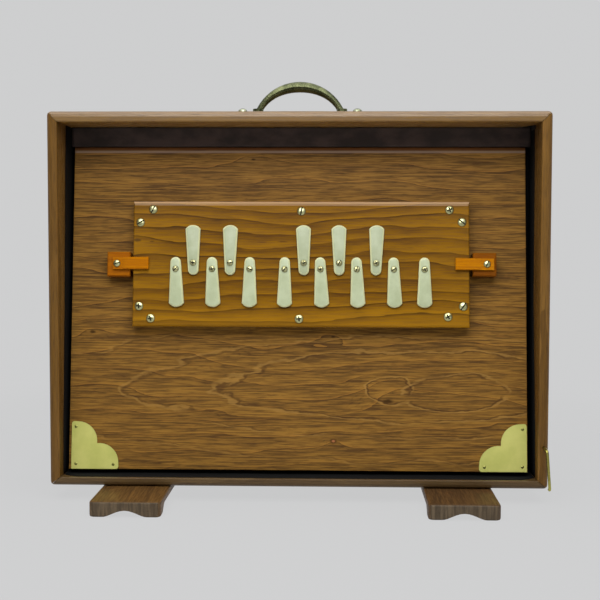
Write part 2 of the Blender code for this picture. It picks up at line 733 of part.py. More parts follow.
def make_key_board(axis):
    """The board that the keys lie on: an air hole under each key and a pilot hole for its screw."""
    left, top, right, bottom = KEY_BOARD
    low = on_panel(left, bottom, KEY_BOARD_FACE)
    high = on_panel(right, top, REED_BOARD_FACE + GAP)
    board = box("key_board", low, high, key_board_wood(), axis)

    def share(first, second):
        if max(first.y, second.y) > 0:
            return 0.0
        if first.z * second.z < 0:
            return KEY_BOARD_END_ROUND_SHARE
        return 1.0 if first.z > 0 else KEY_BOARD_LOW_ROUND_SHARE

    bevel_chosen(board, KEY_BOARD_TOP_ROUND, 3, share)
    air = rods_mesh("air_holes", air_hole_places(9 * MM), AIR_HOLE_RADIUS, 40 * MM, True)
    boolean(board, add_cutter("air_holes", air, axis))
    pilots = [on_panel(u, v, KEY_BOARD_FACE) for _, _, u, v, _, _ in key_places()]
    pilot = rods_mesh("key_pilots", pilots, SHANK_HOLE_RADIUS, 2 * PILOT_DEPTH, True)
    boolean(board, add_cutter("key_pilots", pilot, axis))


def key_mesh():
    """A key with its pivot at the origin: round narrow tip up, wide end down, pierced at the pivot."""
    tip_radius = KEY_NARROW / 2
    tip_z = KEY_PIVOT_FROM_TIP - tip_radius
    end_z = KEY_PIVOT_FROM_TIP - KEY_LENGTH
    end_spread = math.degrees(math.asin(KEY_WIDE / 2 / KEY_END_RADIUS))
    outline = arc((0, tip_z), tip_radius, 0, 180, 8)
    outline += arc((0, end_z + KEY_END_RADIUS), KEY_END_RADIUS, 270 - end_spread, 270 + end_spread, 8)
    mesh = plate_mesh("key", outline, KEY_THICKNESS, FACING_FRONT)
    guide = bpy.data.objects.new("key", mesh)
    CUTTERS.objects.link(guide)
    bevel(guide, KEY_BEVEL, 1, 60)
    hole_mesh = rods_mesh("key_hole", [(0, 0, 0)], SHANK_HOLE_RADIUS, 20 * MM, True)
    hole = add_cutter("key_hole", hole_mesh)
    boolean(guide, hole)
    pierced = evaluated_mesh("key", guide)
    bpy.data.objects.remove(hole, do_unlink=True)
    return pierced


def screw_mesh(name, head, under, shank_length):
    """A round-headed screw whose origin is the underside of its head; `under` is its shank's radius."""
    radius, height = head
    dome = [(radius * math.sin(a), height * math.cos(a)) for a in map(math.radians, (0, 35, 65, 90))]
    return turned_mesh(name, dome + [(under, 0), (under, -shank_length), (0, -shank_length)])


def make_keys(axis):
    key = key_mesh()
    screw = screw_mesh("key_screw", KEY_SCREW_HEAD, SHANK_RADIUS, KEY_THICKNESS + SHANK_LENGTH)
    middle_h = KEY_BOARD_FACE + GAP + KEY_THICKNESS / 2
    head_h = KEY_BOARD_FACE + KEY_THICKNESS + 2 * GAP
    facing = (math.radians(90), 0, 0)
    for row, number, u, v, hang, down in key_places():
        half_turn = 0 if down > 0 else math.pi
        turn = (0, half_turn - math.radians(hang), 0)
        add_node(f"{row}_key_{number}", key, ivory_plastic(), axis, on_panel(u, v, middle_h), turn)
        screw_name = f"{row}_key_screw_{number}"
        add_node(screw_name, screw, brass(), axis, on_panel(u, v, head_h), facing)


def make_latch(axis, word, block, arm, screw_at):
    """A block on the panel and the arm that turns on it to hold the key board's end down."""
    outward = -1 if word == "left" else 1
    low = on_panel(block[0], block[3], KEY_BOARD_FACE)
    high = on_panel(block[2], block[1], GAP)
    base = box("latch_block_" + word, low, high, latch_wood(), axis)
    bevel_chosen(base, 0.8 * MM, 1, lambda first, second: float(max(first.y, second.y) < 0))
    pilot_at = [on_panel(*screw_at, KEY_BOARD_FACE)]
    pilot = rods_mesh("latch_pilot", pilot_at, SHANK_HOLE_RADIUS, 2 * PILOT_DEPTH, True)
    boolean(base, add_cutter("latch_pilot_" + word, pilot, axis))
    pivot = on_panel(*screw_at, KEY_BOARD_FACE + GAP)
    low = on_panel(arm[0], arm[3], KEY_BOARD_FACE + GAP + ARM_THICKNESS) - pivot
    high = on_panel(arm[2], arm[1], KEY_BOARD_FACE + GAP) - pivot
    name = "latch_arm_" + word
    turner = add_node(name, boxes_mesh(name, [(low, high)]), latch_wood(), axis, pivot)
    bevel_chosen(turner, 0.5 * MM, 1, lambda first, second: float(max(first.y, second.y) < -MM))
    step_x = -outward * ARM_STEP_FROM_SCREW
    far_x = outward * 20 * MM
    step_low = (min(step_x, far_x), -8 * MM, -20 * MM)
    step_high = (max(step_x, far_x), -ARM_THIN, 20 * MM)
    step = boxes_mesh(name + "_step", [(step_low, step_high)])
    boolean(turner, add_cutter(name + "_step", step, axis, pivot))
    hole = rods_mesh(name + "_hole", [(0, 0, 0)], SHANK_HOLE_RADIUS, 20 * MM, True)
    boolean(turner, add_cutter(name + "_hole", hole, axis, pivot))
    head_h = KEY_BOARD_FACE + ARM_THIN + 2 * GAP
    screw = screw_mesh("latch_screw", LATCH_SCREW_HEAD, SHANK_RADIUS, ARM_THIN + SHANK_LENGTH)
    facing = (math.radians(90), 0, 0)
    add_node("latch_screw_" + word, screw, brass(), axis, on_panel(*screw_at, head_h), facing)


def guard_outline():
    """A corner plate whose inner edge is two round lobes that meet in a cusp on the diagonal."""
    nose = GUARD_NOSE_RADIUS
    far = GUARD_SIZE - nose
    across, up = GUARD_LOBE_CENTRE
    off_diagonal = (across - up) / math.sqrt(2)
    to_cusp = 135 - math.degrees(math.acos(off_diagonal / GUARD_LOBE_RADIUS))
    lobe_right = arc((across, up), GUARD_LOBE_RADIUS, 0, to_cusp, 9)
    lobe_up = arc((up, across), GUARD_LOBE_RADIUS, 90 - to_cusp, 90, 9)
    tips = arc((far, nose), nose, 270, 360, 3), arc((nose, far), nose, 90, 180, 3)
    return [(0, 0), *tips[0], *lobe_right, *lobe_up[1:], *tips[1]]


def make_guards(axis):
    """Thin brass plates on the panel's lower corners."""
    half = PANEL_WIDTH / 2
    bottom = PANEL_HEIGHT - GUARD_BOTTOM_INSET
    for word, side, inset in zip(("left", "right"), (-1, 1), GUARD_INSETS):
        outline = guard_outline()
        if side > 0:
            outline = [(-x, y) for x, y in reversed(outline)]
        name = "corner_guard_" + word
        mesh = plate_mesh(name, outline, GUARD_THICKNESS, FACING_FRONT)
        corner_u = PANEL_CENTRE_U + side * (half - inset)
        add_node(name, mesh, brass(), axis, on_panel(corner_u, bottom, GAP + GUARD_THICKNESS / 2))


def fold_section(plies, spacing):
    """The closed cross-section of a folded cloth, as (inset, share of the span, offset in plies).

    Ridges have inset 0 and valleys the full fold depth. Each fold's inner notch stops short of its
    tip, where the two plies meet.
    """
    notch = FOLD_DEPTH * PLY / (2 * spacing)
    outer = [(0, 0, 0.5)]
    inner = []
    for k in range(1, plies + 1):
        share = k / plies
        if k % 2:
            outer.append((FOLD_DEPTH - notch, share, 0))
            inner += [(FOLD_DEPTH, share, -0.5), (FOLD_DEPTH, share, 0.5)]
        else:
            outer += [(0, share, -0.5), (0, share, 0.5)]
            if k < plies:
                inner.append((notch, share, 0))
    return outer + inner[::-1] + [(0, 0, -0.5)]


def bellows_mesh(name, plies, stations, span_at):
    """A folded cloth along a bent route, as a loft between its cross-sections.

    Each station turns an inset into (x, z). span_at(z) gives the y where the folds start and end.
    The plies twist along the route, so both faces of a ply are split along the same diagonals.
    """
    bm = bmesh.new()
    rings = []
    insets = []
    for station in stations:
        _, height = station(0)
        near, far = span_at(height)
        section = fold_section(plies, (far - near - PLY) / plies)
        ring = []
        for inset, share, offset in section:
            x, z = station(inset)
            near, far = span_at(z)
            y = near + PLY / 2 + share * (far - near - PLY) + offset * PLY
            ring.append(bm.verts.new((x, y, z)))
        rings.append(ring)
        insets.append([inset for inset, _, _ in section])
    count = len(rings[0])
    for ring, following, inset in zip(rings, rings[1:], insets):
        for i in range(count):
            j = (i + 1) % count
            corners = [ring[i], ring[j], following[j], following[i]]
            if inset[i] > inset[j]:
                corners = corners[1:] + corners[:1]
            bm.faces.new(corners[:3])
            bm.faces.new((corners[0], corners[2], corners[3]))
    bm.faces.new(rings[0])
    bm.faces.new(rings[-1][::-1])
    bmesh.ops.recalc_face_normals(bm, faces=bm.faces)
    mesh = bpy.data.meshes.new(name)
    bm.to_mesh(mesh)
    bm.free()
    return mesh


def route_round(half_width, middle_x, open_z, closed_z):
    """Stations of a route down one side, across the closed end and up the other side."""
    way = 1 if open_z > closed_z else -1
    heights = [open_z + (closed_z - open_z) * i / ROUTE_STEPS for i in range(ROUTE_STEPS)]

    def beside(side, height):
        return lambda inset: (middle_x + side * (half_width - inset), height)

    def corner(side):
        return lambda inset: (middle_x + side * (half_width - inset), closed_z + way * inset)

    down = [beside(-1, height) for height in heights]
    up = [beside(1, height) for height in reversed(heights)]
    return down + [corner(-1), corner(1)] + up


def make_reservoir_bellows():
    partition = FRONT_Y + PARTITION_DEPTHS[0] - GAP

    def span_at(z):
        panel_back = HINGE_Y + (z - HINGE_Z) * math.tan(TILT) + PANEL_THICKNESS / math.cos(TILT)
        return panel_back + GAP, partition

    low_z = HINGE_Z - (PANEL_HEIGHT - 5 * MM) * math.cos(TILT)
    stations = route_round(PANEL_WIDTH / 2 - 4 * MM, PANEL_CENTRE_U, HINGE_Z - 29.5 * MM, low_z)
    mesh = bellows_mesh("reservoir_bellows", RESERVOIR_PLIES, stations, span_at)
    add_node("reservoir_bellows", mesh, black_cloth())


def make_reservoir_fittings():
    """The leather that hinges the panel to its rail, and the leaf spring that pushes it open."""
    rail_front = FRONT_Y + RAIL_DEPTHS[0] - GAP - LEATHER / 2
    fold_z = HINGE_Z + 0.5 * MM
    line = [
        (rail_front, TOP_Z - WALL - STRIP),
        (rail_front, fold_z + 0.5 * MM),
        (rail_front + 0.4 * MM, fold_z),
        (HINGE_Y + 8 * MM, fold_z),
    ]
    width = 2 * (INNER_X - 0.5 * MM)
    strip = plate_mesh("reservoir_hinge_strip", strip_outline(line, STRIP), width, SEEN_FROM_SIDE)
    add_node("reservoir_hinge_strip", strip, black_cloth())

    anchor_y = FRONT_Y + PARTITION_DEPTHS[0] - 0.8 * MM
    bend_z = BASE_Z + SPRING_BEND
    tip_z = BASE_Z + SPRING_TIP
    panel_back = HINGE_Y + (tip_z - HINGE_Z) * math.tan(TILT) + PANEL_THICKNESS / math.cos(TILT)
    tip_y = panel_back + 1.2 * MM
    blade = [(anchor_y, BASE_Z + SPRING_TOP), (anchor_y, bend_z)]
    steps = 8
    for i in range(1, steps + 1):
        share = i / steps
        blade.append((anchor_y + (tip_y - anchor_y) * share**1.5, bend_z + (tip_z - bend_z) * share))
    blade += [(tip_y + 1.6 * MM, tip_z - 4 * MM), (tip_y + 5 * MM, tip_z - 7 * MM)]
    outline = strip_outline(blade, SPRING_THICKNESS)
    spring = plate_mesh("reservoir_spring", outline, SPRING_WIDTH, SEEN_FROM_SIDE)
    add_node("reservoir_spring", spring, spring_steel())


def make_pump():
    """The board at the back that is pumped by hand, with its bellows, hinge strip and valve."""
    near, far = (FRONT_Y + depth for depth in PUMP_BOARD_DEPTHS)
    low_z = BASE_Z + BOTTOM_WALL + 0.6 * MM
    high_z = TOP_Z - WALL - 1.2 * MM
    half = INNER_X - 0.6 * MM
    axis = add_axis("pump_hinge_axis", (0, far, low_z))
    board = box(
        "pump_board", (-half, near - far, 0), (half, 0, high_z - low_z), panel_wood(), axis
    )
    bevel(board, 0.8 * MM, 1)
    width, height, depth = FINGER_GRIP
    grip_low = (-width / 2, -depth, high_z - low_z - height)
    grip_high = (width / 2, 10 * MM, high_z - low_z + 10 * MM)
    boolean(board, add_cutter("finger_grip", boxes_mesh("finger_grip", [(grip_low, grip_high)]), axis))
    holes = [(x, 0, BASE_Z + EXHAUST_VALVE_HEIGHT - low_z) for x in VALVE_HOLES_X]
    hole_mesh = rods_mesh("exhaust_holes", holes, VALVE_HOLE_RADIUS, 40 * MM, True, 20)
    boolean(board, add_cutter("exhaust_holes", hole_mesh, axis))
    add_flap("pump_exhaust_flap", far + GAP, BASE_Z + EXHAUST_VALVE_HEIGHT, axis)

    partition = FRONT_Y + PARTITION_DEPTHS[1] + GAP
    stations = route_round(half - MM, 0, low_z + 4 * MM, high_z - MM)
    mesh = bellows_mesh("pump_bellows", PUMP_PLIES, stations, lambda z: (partition, near - GAP))
    add_node("pump_bellows", mesh, black_cloth())

    inset = GAP + LEATHER / 2
    corner_z = BASE_Z + BOTTOM_WALL + inset
    line = [
        (far + inset, low_z + 14 * MM),
        (far + inset, corner_z + 0.5 * MM),
        (far + inset + 0.3 * MM, corner_z),
        (far + 1.8 * MM, corner_z),
    ]
    strip = plate_mesh("pump_hinge_strip", strip_outline(line, LEATHER), 2 * half, SEEN_FROM_SIDE)
    add_node("pump_hinge_strip", strip, black_cloth())


def shade_round_pieces():
    for obj in PARTS.objects:
        if obj.type == "MESH":
            obj.data.shade_smooth()
            obj.data.set_sharp_from_angle(angle=math.radians(32))


def main():
    make_case()
    add_foot("foot_left", FOOT_LEFT_X)
    add_foot("foot_right", FOOT_RIGHT_X)
    make_handle()
    make_hook()
    make_partition()
    panel_axis = add_axis("panel_hinge_axis", (0, HINGE_Y, HINGE_Z), (-TILT, 0, 0))
    make_panel(panel_axis)
    make_reed_board(panel_axis)
    make_key_board(panel_axis)
    make_keys(panel_axis)
    make_latch(panel_axis, "left", LEFT_BLOCK, LEFT_ARM, LEFT_LATCH_SCREW)
    make_latch(panel_axis, "right", RIGHT_BLOCK, RIGHT_ARM, RIGHT_LATCH_SCREW)
    make_guards(panel_axis)
    make_reservoir_bellows()
    make_reservoir_fittings()
    make_pump()
    shade_round_pieces()


main()
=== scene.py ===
import math

import bmesh
import bpy
from mathutils import Matrix, Vector, noise


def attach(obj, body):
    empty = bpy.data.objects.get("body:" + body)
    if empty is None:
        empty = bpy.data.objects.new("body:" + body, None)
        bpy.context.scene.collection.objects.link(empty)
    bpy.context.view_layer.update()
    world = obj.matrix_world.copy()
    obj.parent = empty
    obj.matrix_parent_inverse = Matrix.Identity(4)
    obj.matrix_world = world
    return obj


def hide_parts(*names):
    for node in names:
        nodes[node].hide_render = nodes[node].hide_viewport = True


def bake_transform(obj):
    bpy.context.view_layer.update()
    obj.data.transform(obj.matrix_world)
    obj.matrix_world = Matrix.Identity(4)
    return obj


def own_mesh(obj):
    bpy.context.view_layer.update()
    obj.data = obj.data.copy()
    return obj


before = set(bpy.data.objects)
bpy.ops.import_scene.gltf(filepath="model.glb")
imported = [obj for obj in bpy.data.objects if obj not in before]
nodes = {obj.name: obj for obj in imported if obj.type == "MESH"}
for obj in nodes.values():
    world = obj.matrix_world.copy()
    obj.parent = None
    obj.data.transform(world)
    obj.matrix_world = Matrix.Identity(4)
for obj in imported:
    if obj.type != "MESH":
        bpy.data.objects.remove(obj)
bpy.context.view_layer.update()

MM = 0.001

# Studio: a pale sweep under a wide soft box, with a low strip light in front and above the object, which
# draws the shadows, and a fill on each side. The camera stands a little right of the middle, and the
# room behind it is dim, as the metal shows.
CAMERA_PLACE = (0.03014, -1.00007, 0.2211)
CAMERA_PITCH = -3.488
CAMERA_YAW = 1.709
CAMERA_ROLL = 0.117
CAMERA_FIELD = 28.07
SWEEP_COLOUR = (0.617, 0.62, 0.624, 1)
ROOM_COLOUR = (0.10, 0.10, 0.105, 1)
SKY_LIGHT = 0.11
SOFT_BOXES = (
    ("strip_light", (0.0, -0.6, 0.61), 3.75, (0.62, 0.3)),
    ("soft_box_over", (0.0, -0.25, 1.3), 15.0, (1.8, 1.0)),
    ("fill_left", (-1.0, -1.5, 0.22), 1.4, (0.9, 0.4)),
    ("fill_right", (1.0, -1.5, 0.22), 1.4, (0.9, 0.4)),
)

camera = bpy.data.objects.new("camera", bpy.data.cameras.new("camera"))
bpy.context.scene.collection.objects.link(camera)
camera.data.angle = math.radians(CAMERA_FIELD)
camera.data.clip_start = 0.01
turn = Matrix.Rotation(math.radians(CAMERA_YAW), 4, "Z")
turn = turn @ Matrix.Rotation(math.radians(90 + CAMERA_PITCH), 4, "X")
turn = turn @ Matrix.Rotation(math.radians(CAMERA_ROLL), 4, "Z")
camera.matrix_world = Matrix.Translation(CAMERA_PLACE) @ turn
bpy.context.scene.camera = camera
bpy.context.scene.view_settings.view_transform = "Standard"

for name, place, power, size in SOFT_BOXES:
    lamp = bpy.data.lights.new(name, "AREA")
    lamp.shape = "RECTANGLE"
    lamp.size, lamp.size_y = size
    lamp.energy = power
    soft_box = bpy.data.objects.new(name, lamp)
    bpy.context.scene.collection.objects.link(soft_box)
    soft_box.location = place
    aim = Vector((0, 0, 0.16)) - Vector(place)
    soft_box.rotation_euler = aim.to_track_quat("-Z", "Y").to_euler()


def math_node(tree, operation, first, second=None, third=None, clamp=False):
    node = tree.nodes.new("ShaderNodeMath")
    node.operation = operation
    node.use_clamp = clamp
    for socket, value in zip(node.inputs, (first, second, third)):
        if value is None:
            continue
        if isinstance(value, (int, float)):
            socket.default_value = value
        else:
            tree.links.new(value, socket)
    return node.outputs[0]


def steps_node(tree, value, low, high):
    """Rises smoothly from 0 at low to 1 at high."""
    node = tree.nodes.new("ShaderNodeMapRange")
    node.interpolation_type = "SMOOTHSTEP"
    node.inputs["From Min"].default_value = low
    node.inputs["From Max"].default_value = high
    tree.links.new(value, node.inputs["Value"])
    return node.outputs["Result"]


def seen_directly(tree):
    """1 for a ray from the camera, off metal or through glass, and 0 for one that lights a surface."""
    path = tree.nodes.new("ShaderNodeLightPath")
    glossy = math_node(tree, "MAXIMUM", path.outputs["Is Glossy Ray"], path.outputs["Is Transmission Ray"])
    return math_node(tree, "MAXIMUM", path.outputs["Is Camera Ray"], glossy), glossy


world = bpy.data.worlds.new("studio")
world.use_nodes = True
bpy.context.scene.world = world
sky = world.node_tree
light_of_sky = sky.nodes["Background"]
light_of_sky.inputs["Color"].default_value = (1, 1, 1, 1)
light_of_sky.inputs["Strength"].default_value = SKY_LIGHT
sweep = sky.nodes.new("ShaderNodeBackground")
sweep.inputs["Color"].default_value = SWEEP_COLOUR
room = sky.nodes.new("ShaderNodeBackground")
room.inputs["Color"].default_value = ROOM_COLOUR
direction = sky.nodes.new("ShaderNodeSeparateXYZ")
sky.links.new(sky.nodes.new("ShaderNodeTexCoord").outputs["Generated"], direction.inputs[0])
direct, mirrored = seen_directly(sky)
behind_camera = steps_node(sky, math_node(sky, "MULTIPLY", direction.outputs["Y"], -1), -0.1, 0.5)
shown = sky.nodes.new("ShaderNodeMixShader")
sky.links.new(math_node(sky, "MULTIPLY", mirrored, behind_camera), shown.inputs["Fac"])
sky.links.new(sweep.outputs[0], shown.inputs[1])
sky.links.new(room.outputs[0], shown.inputs[2])
mixed = sky.nodes.new("ShaderNodeMixShader")
sky.links.new(direct, mixed.inputs["Fac"])
sky.links.new(light_of_sky.outputs[0], mixed.inputs[1])
sky.links.new(shown.outputs[0], mixed.inputs[2])
sky.links.new(mixed.outputs[0], sky.nodes["World Output"].inputs["Surface"])

# The floor fades into the sweep away from the object, so that no edge or horizon shows. Most of what
# the camera sees of it is the sweep's own colour, and the rest is matt paint that takes the shadow.
floor_mesh = bpy.data.meshes.new("floor")
floor_bm = bmesh.new()
bmesh.ops.create_circle(floor_bm, cap_ends=True, segments=64, radius=1.6)
floor_bm.to_mesh(floor_mesh)
floor_bm.free()
floor = bpy.data.objects.new("floor", floor_mesh)
bpy.context.scene.collection.objects.link(floor)
floor_paint = bpy.data.materials.new("floor_paint")
floor_paint.use_nodes = True
paint = floor_paint.node_tree
paint.nodes.remove(paint.nodes["Principled BSDF"])
matt = paint.nodes.new("ShaderNodeBsdfDiffuse")
matt.inputs["Color"].default_value = (0.6, 0.6, 0.607, 1)
glow = paint.nodes.new("ShaderNodeEmission")
glow.inputs["Color"].default_value = SWEEP_COLOUR
direct, mirrored = seen_directly(paint)
soft_shadow = paint.nodes.new("ShaderNodeMixShader")
paint.links.new(math_node(paint, "MULTIPLY", direct, 0.93), soft_shadow.inputs["Fac"])
paint.links.new(matt.outputs[0], soft_shadow.inputs[1])
paint.links.new(glow.outputs[0], soft_shadow.inputs[2])
clear = paint.nodes.new("ShaderNodeBsdfTransparent")
floor_length = paint.nodes.new("ShaderNodeVectorMath")
floor_length.operation = "LENGTH"
paint.links.new(paint.nodes.new("ShaderNodeTexCoord").outputs["Object"], floor_length.inputs[0])
away = steps_node(paint, floor_length.outputs["Value"], 0.34, 0.8)
faded = paint.nodes.new("ShaderNodeMixShader")
paint.links.new(away, faded.inputs["Fac"])
paint.links.new(soft_shadow.outputs[0], faded.inputs[1])
paint.links.new(clear.outputs[0], faded.inputs[2])
paint.links.new(faded.outputs[0], paint.nodes["Material Output"].inputs["Surface"])
floor_mesh.materials.append(floor_paint)


# Case: four mitred boards of a brown hardwood, sanded, varnished thinly and rounded along the edges.
# The grain runs along each board, and each board was cut from a different place, so its figure differs. The boards
# differ in shade too, the bottom board being given a much darker brown than the rest.
def vector_node(tree, operation, first, second):
    node = tree.nodes.new("ShaderNodeVectorMath")
    node.operation = operation
    for socket, value in zip(node.inputs, (first, second)):
        if isinstance(value, (tuple, list, Vector)):
            socket.default_value = value
        else:
            tree.links.new(value, socket)
    return node.outputs["Value" if operation in ("LENGTH", "DOT_PRODUCT") else "Vector"]


def noise_node(tree, vector, stretch, detail=4.0, roughness=0.6):
    """Noise at these sizes along the three axes, in waves to the metre."""
    node = tree.nodes.new("ShaderNodeTexNoise")
    node.inputs["Scale"].default_value = 1.0
    node.inputs["Detail"].default_value = detail
    node.inputs["Roughness"].default_value = roughness
    tree.links.new(vector_node(tree, "MULTIPLY", vector, stretch), node.inputs["Vector"])
    return node.outputs["Fac"]


def mix_node(tree, share, first, second, blend="MIX"):
    node = tree.nodes.new("ShaderNodeMix")
    node.data_type = "RGBA"
    node.blend_type = blend
    for socket, value in ((node.inputs[0], share), (node.inputs[6], first), (node.inputs[7], second)):
        if isinstance(value, (int, float)):
            socket.default_value = value
        elif isinstance(value, tuple):
            socket.default_value = (*value, 1)
        else:
            tree.links.new(value, socket)
    return node.outputs[2]


def new_group(name, inputs, outputs):
    """A node group with these inputs (name, value at rest) and outputs (name, kind)."""
    group = bpy.data.node_groups.new(name, "ShaderNodeTree")
    for label, value in inputs:
        kind = "NodeSocketFloat"
        if value is None or len(label) > 5 and label.endswith("place"):
            kind = "NodeSocketVector"
        elif isinstance(value, tuple):
            kind = "NodeSocketColor"
        socket = group.interface.new_socket(label, in_out="INPUT", socket_type=kind)
        if value is not None:
            socket.default_value = (*value, 1) if kind == "NodeSocketColor" else value
    for label, kind in outputs:
        group.interface.new_socket(label, in_out="OUTPUT", socket_type=kind)
    return group, group.nodes.new("NodeGroupInput"), group.nodes.new("NodeGroupOutput")


def make_wood_figure():
    """Flat-sawn wood along the first axis: saw-toothed growth rings, fine fibres, pores and flecks."""
    group, given, out = new_group(
        "wood_figure",
        (
            ("Place", None),
            ("Swell", 0.0),
            ("Rings", 50.0),
            ("Wander", 1.5),
            ("Pale", (0.3, 0.135, 0.016)),
            ("Dark", (0.115, 0.05, 0.012)),
            ("Line", (0.06, 0.024, 0.006)),
            ("Fleck", (0.34, 0.11, 0.02)),
            ("Lines", 0.7),
            ("Fibres", 0.5),
            ("Pores", 0.4),
            ("Flecks", 0.3),
            ("Rough", 0.5),
            ("Ripples", 0.4),
            ("Bands", 0.5),
            ("Width", 0.12),
            ("Edges", 0.0),
        ),
        (("Color", "NodeSocketColor"), ("Height", "NodeSocketFloat"), ("Roughness", "NodeSocketFloat")),
    )
    place = given.outputs["Place"]
    axes = group.nodes.new("ShaderNodeSeparateXYZ")
    group.links.new(place, axes.inputs[0])
    slow = noise_node(group, place, (5.0, 12.0, 13.0), 3, 0.5)
    wavy = noise_node(group, place, (12.0, 70.0, 80.0), 3, 0.55)
    field = math_node(group, "MULTIPLY", axes.outputs["Z"], math_node(group, "MULTIPLY", given.outputs["Rings"], -1))
    wander = math_node(group, "ADD", math_node(group, "MULTIPLY", slow, 2.0), math_node(group, "MULTIPLY", wavy, 0.35))
    field = math_node(group, "ADD", field, math_node(group, "MULTIPLY", wander, given.outputs["Wander"]))
    field = math_node(group, "ADD", field, given.outputs["Swell"])
    ring = math_node(group, "FRACT", field)
    fresh = noise_node(group, place, (3.4, 34.0, 40.0), 3, 0.6)
    shown = steps_node(group, fresh, 0.34, 0.52)
    beyond = math_node(group, "DIVIDE", ring, given.outputs["Width"], clamp=True)
    line = math_node(group, "MULTIPLY", math_node(group, "SUBTRACT", 1.0, beyond), shown)
    before = math_node(group, "DIVIDE", math_node(group, "SUBTRACT", 1.0, ring), given.outputs["Width"], clamp=True)
    edge = math_node(group, "MULTIPLY", math_node(group, "SUBTRACT", 1.0, before), shown)
    ripe = steps_node(group, ring, 0.1, 1.05)
    jitter = noise_node(group, place, (34.0, 210.0, 210.0), 3, 0.6)
    fine_ring = math_node(group, "MULTIPLY_ADD", field, 4.6, math_node(group, "MULTIPLY", jitter, 3.2))
    ripple = math_node(group, "ABSOLUTE", math_node(group, "SUBTRACT", math_node(group, "FRACT", fine_ring), 0.5))
    ripple = math_node(group, "SUBTRACT", 1.0, steps_node(group, ripple, 0.02, 0.2))
    broken = steps_node(group, noise_node(group, place, (26.0, 150.0, 150.0), 3, 0.6), 0.4, 0.62)
    ripple = math_node(group, "MULTIPLY", math_node(group, "MULTIPLY", ripple, broken), given.outputs["Ripples"])
    fibre = noise_node(group, place, (38.0, 900.0, 900.0), 3, 0.58)
    hair = noise_node(group, place, (85.0, 1250.0, 1250.0), 2, 0.5)
    fibres = steps_node(group, fibre, 0.38, 0.62)
    bands = math_node(group, "ADD", math_node(group, "MULTIPLY", ripe, 0.6), math_node(group, "MULTIPLY", fresh, 0.8))
    bands = math_node(group, "MULTIPLY", math_node(group, "SUBTRACT", bands, 0.7), given.outputs["Bands"])
    share = math_node(group, "ADD", bands, 0.55)
    spread = math_node(group, "SUBTRACT", fibres, 0.5)
    share = math_node(group, "MULTIPLY_ADD", spread, given.outputs["Fibres"], share)
    share = math_node(group, "SUBTRACT", share, ripple)
    share = math_node(group, "MINIMUM", math_node(group, "MAXIMUM", share, 0.0), 1.0)
    colour = mix_node(group, share, given.outputs["Dark"], given.outputs["Pale"])
    fleck = noise_node(group, vector_node(group, "ADD", place, (0.31, 0.17, 0.53)), (34.0, 330.0, 360.0), 4, 0.65)
    flecks = math_node(group, "MULTIPLY", steps_node(group, fleck, 0.58, 0.72), given.outputs["Flecks"])
    colour = mix_node(group, flecks, colour, given.outputs["Fleck"])
    colour = mix_node(group, math_node(group, "MULTIPLY", edge, given.outputs["Edges"]), colour, given.outputs["Fleck"])
    drawn = math_node(group, "MULTIPLY", line, given.outputs["Lines"])
    colour = mix_node(group, drawn, colour, given.outputs["Line"])
    pits = math_node(group, "MULTIPLY", steps_node(group, hair, 0.55, 0.68), given.outputs["Pores"])
    colour = mix_node(group, pits, colour, given.outputs["Line"])
    group.links.new(colour, out.inputs["Color"])
    height = math_node(group, "SUBTRACT", math_node(group, "MULTIPLY", fibre, 0.6), pits)
    height = math_node(group, "SUBTRACT", height, math_node(group, "MULTIPLY", drawn, 0.3))
    group.links.new(height, out.inputs["Height"])
    rough = math_node(group, "MULTIPLY_ADD", fibres, -0.08, given.outputs["Rough"])
    group.links.new(math_node(group, "MULTIPLY_ADD", pits, 0.2, rough), out.inputs["Roughness"])
    return group


wood_figure = make_wood_figure()


def new_finish(name):
    finish = bpy.data.materials.new(name)
    finish.use_nodes = True
    return finish, finish.node_tree, finish.node_tree.nodes["Principled BSDF"]


def add_bump(tree, shader, height, strength, distance):
    node = tree.nodes.new("ShaderNodeBump")
    node.inputs["Strength"].default_value = strength
    node.inputs["Distance"].default_value = distance
    tree.links.new(height, node.inputs["Height"])
    tree.links.new(node.outputs["Normal"], shader.inputs["Normal"])


def object_place(tree):
    return tree.nodes.new("ShaderNodeTexCoord").outputs["Object"]


def turned_place(tree, place, along):
    """The place with the grain's direction first."""
    if along == "X":
        return place
    axes = tree.nodes.new("ShaderNodeSeparateXYZ")
    tree.links.new(place, axes.inputs[0])
    joined = tree.nodes.new("ShaderNodeCombineXYZ")
    for source, target in zip({"Z": "ZXY", "Y": "YZX"}[along], "XYZ"):
        tree.links.new(axes.outputs[source], joined.inputs[target])
    return joined.outputs[0]


def wood_finish(
    name, along="X", shift=(0.0, 0.0, 0.0), gloss=0.25, relief=0.3, mark=None, shade=None, **figure_values
):
    """A sanded wood. mark(tree, place) returns a swell and a function that darkens knots in a colour,
    and shade(tree, colour) changes the colour by the way that the surface faces."""
    finish, tree, shader = new_finish(name)
    place = object_place(tree)
    figure = tree.nodes.new("ShaderNodeGroup")
    figure.node_tree = wood_figure
    for label, value in figure_values.items():
        figure.inputs[label].default_value = (*value, 1) if isinstance(value, tuple) else value
    moved = turned_place(tree, vector_node(tree, "ADD", place, shift), along)
    tree.links.new(moved, figure.inputs["Place"])
    colour = figure.outputs["Color"]
    if mark:
        swell, darken = mark(tree, place)
        tree.links.new(swell, figure.inputs["Swell"])
        colour = darken(colour)
    if shade:
        colour = shade(tree, colour)
    tree.links.new(colour, shader.inputs["Base Color"])
    tree.links.new(figure.outputs["Roughness"], shader.inputs["Roughness"])
    shader.inputs["Specular IOR Level"].default_value = gloss
    add_bump(tree, shader, figure.outputs["Height"], relief, 0.0003)
    return finish


def give(finish, *names):
    """Puts a finish on CAD nodes whose shape stays as it is."""
    for name in names:
        slots = nodes[name].data.materials
        if not len(slots):
            slots.append(finish)
        for i in range(len(slots)):
            slots[i] = finish


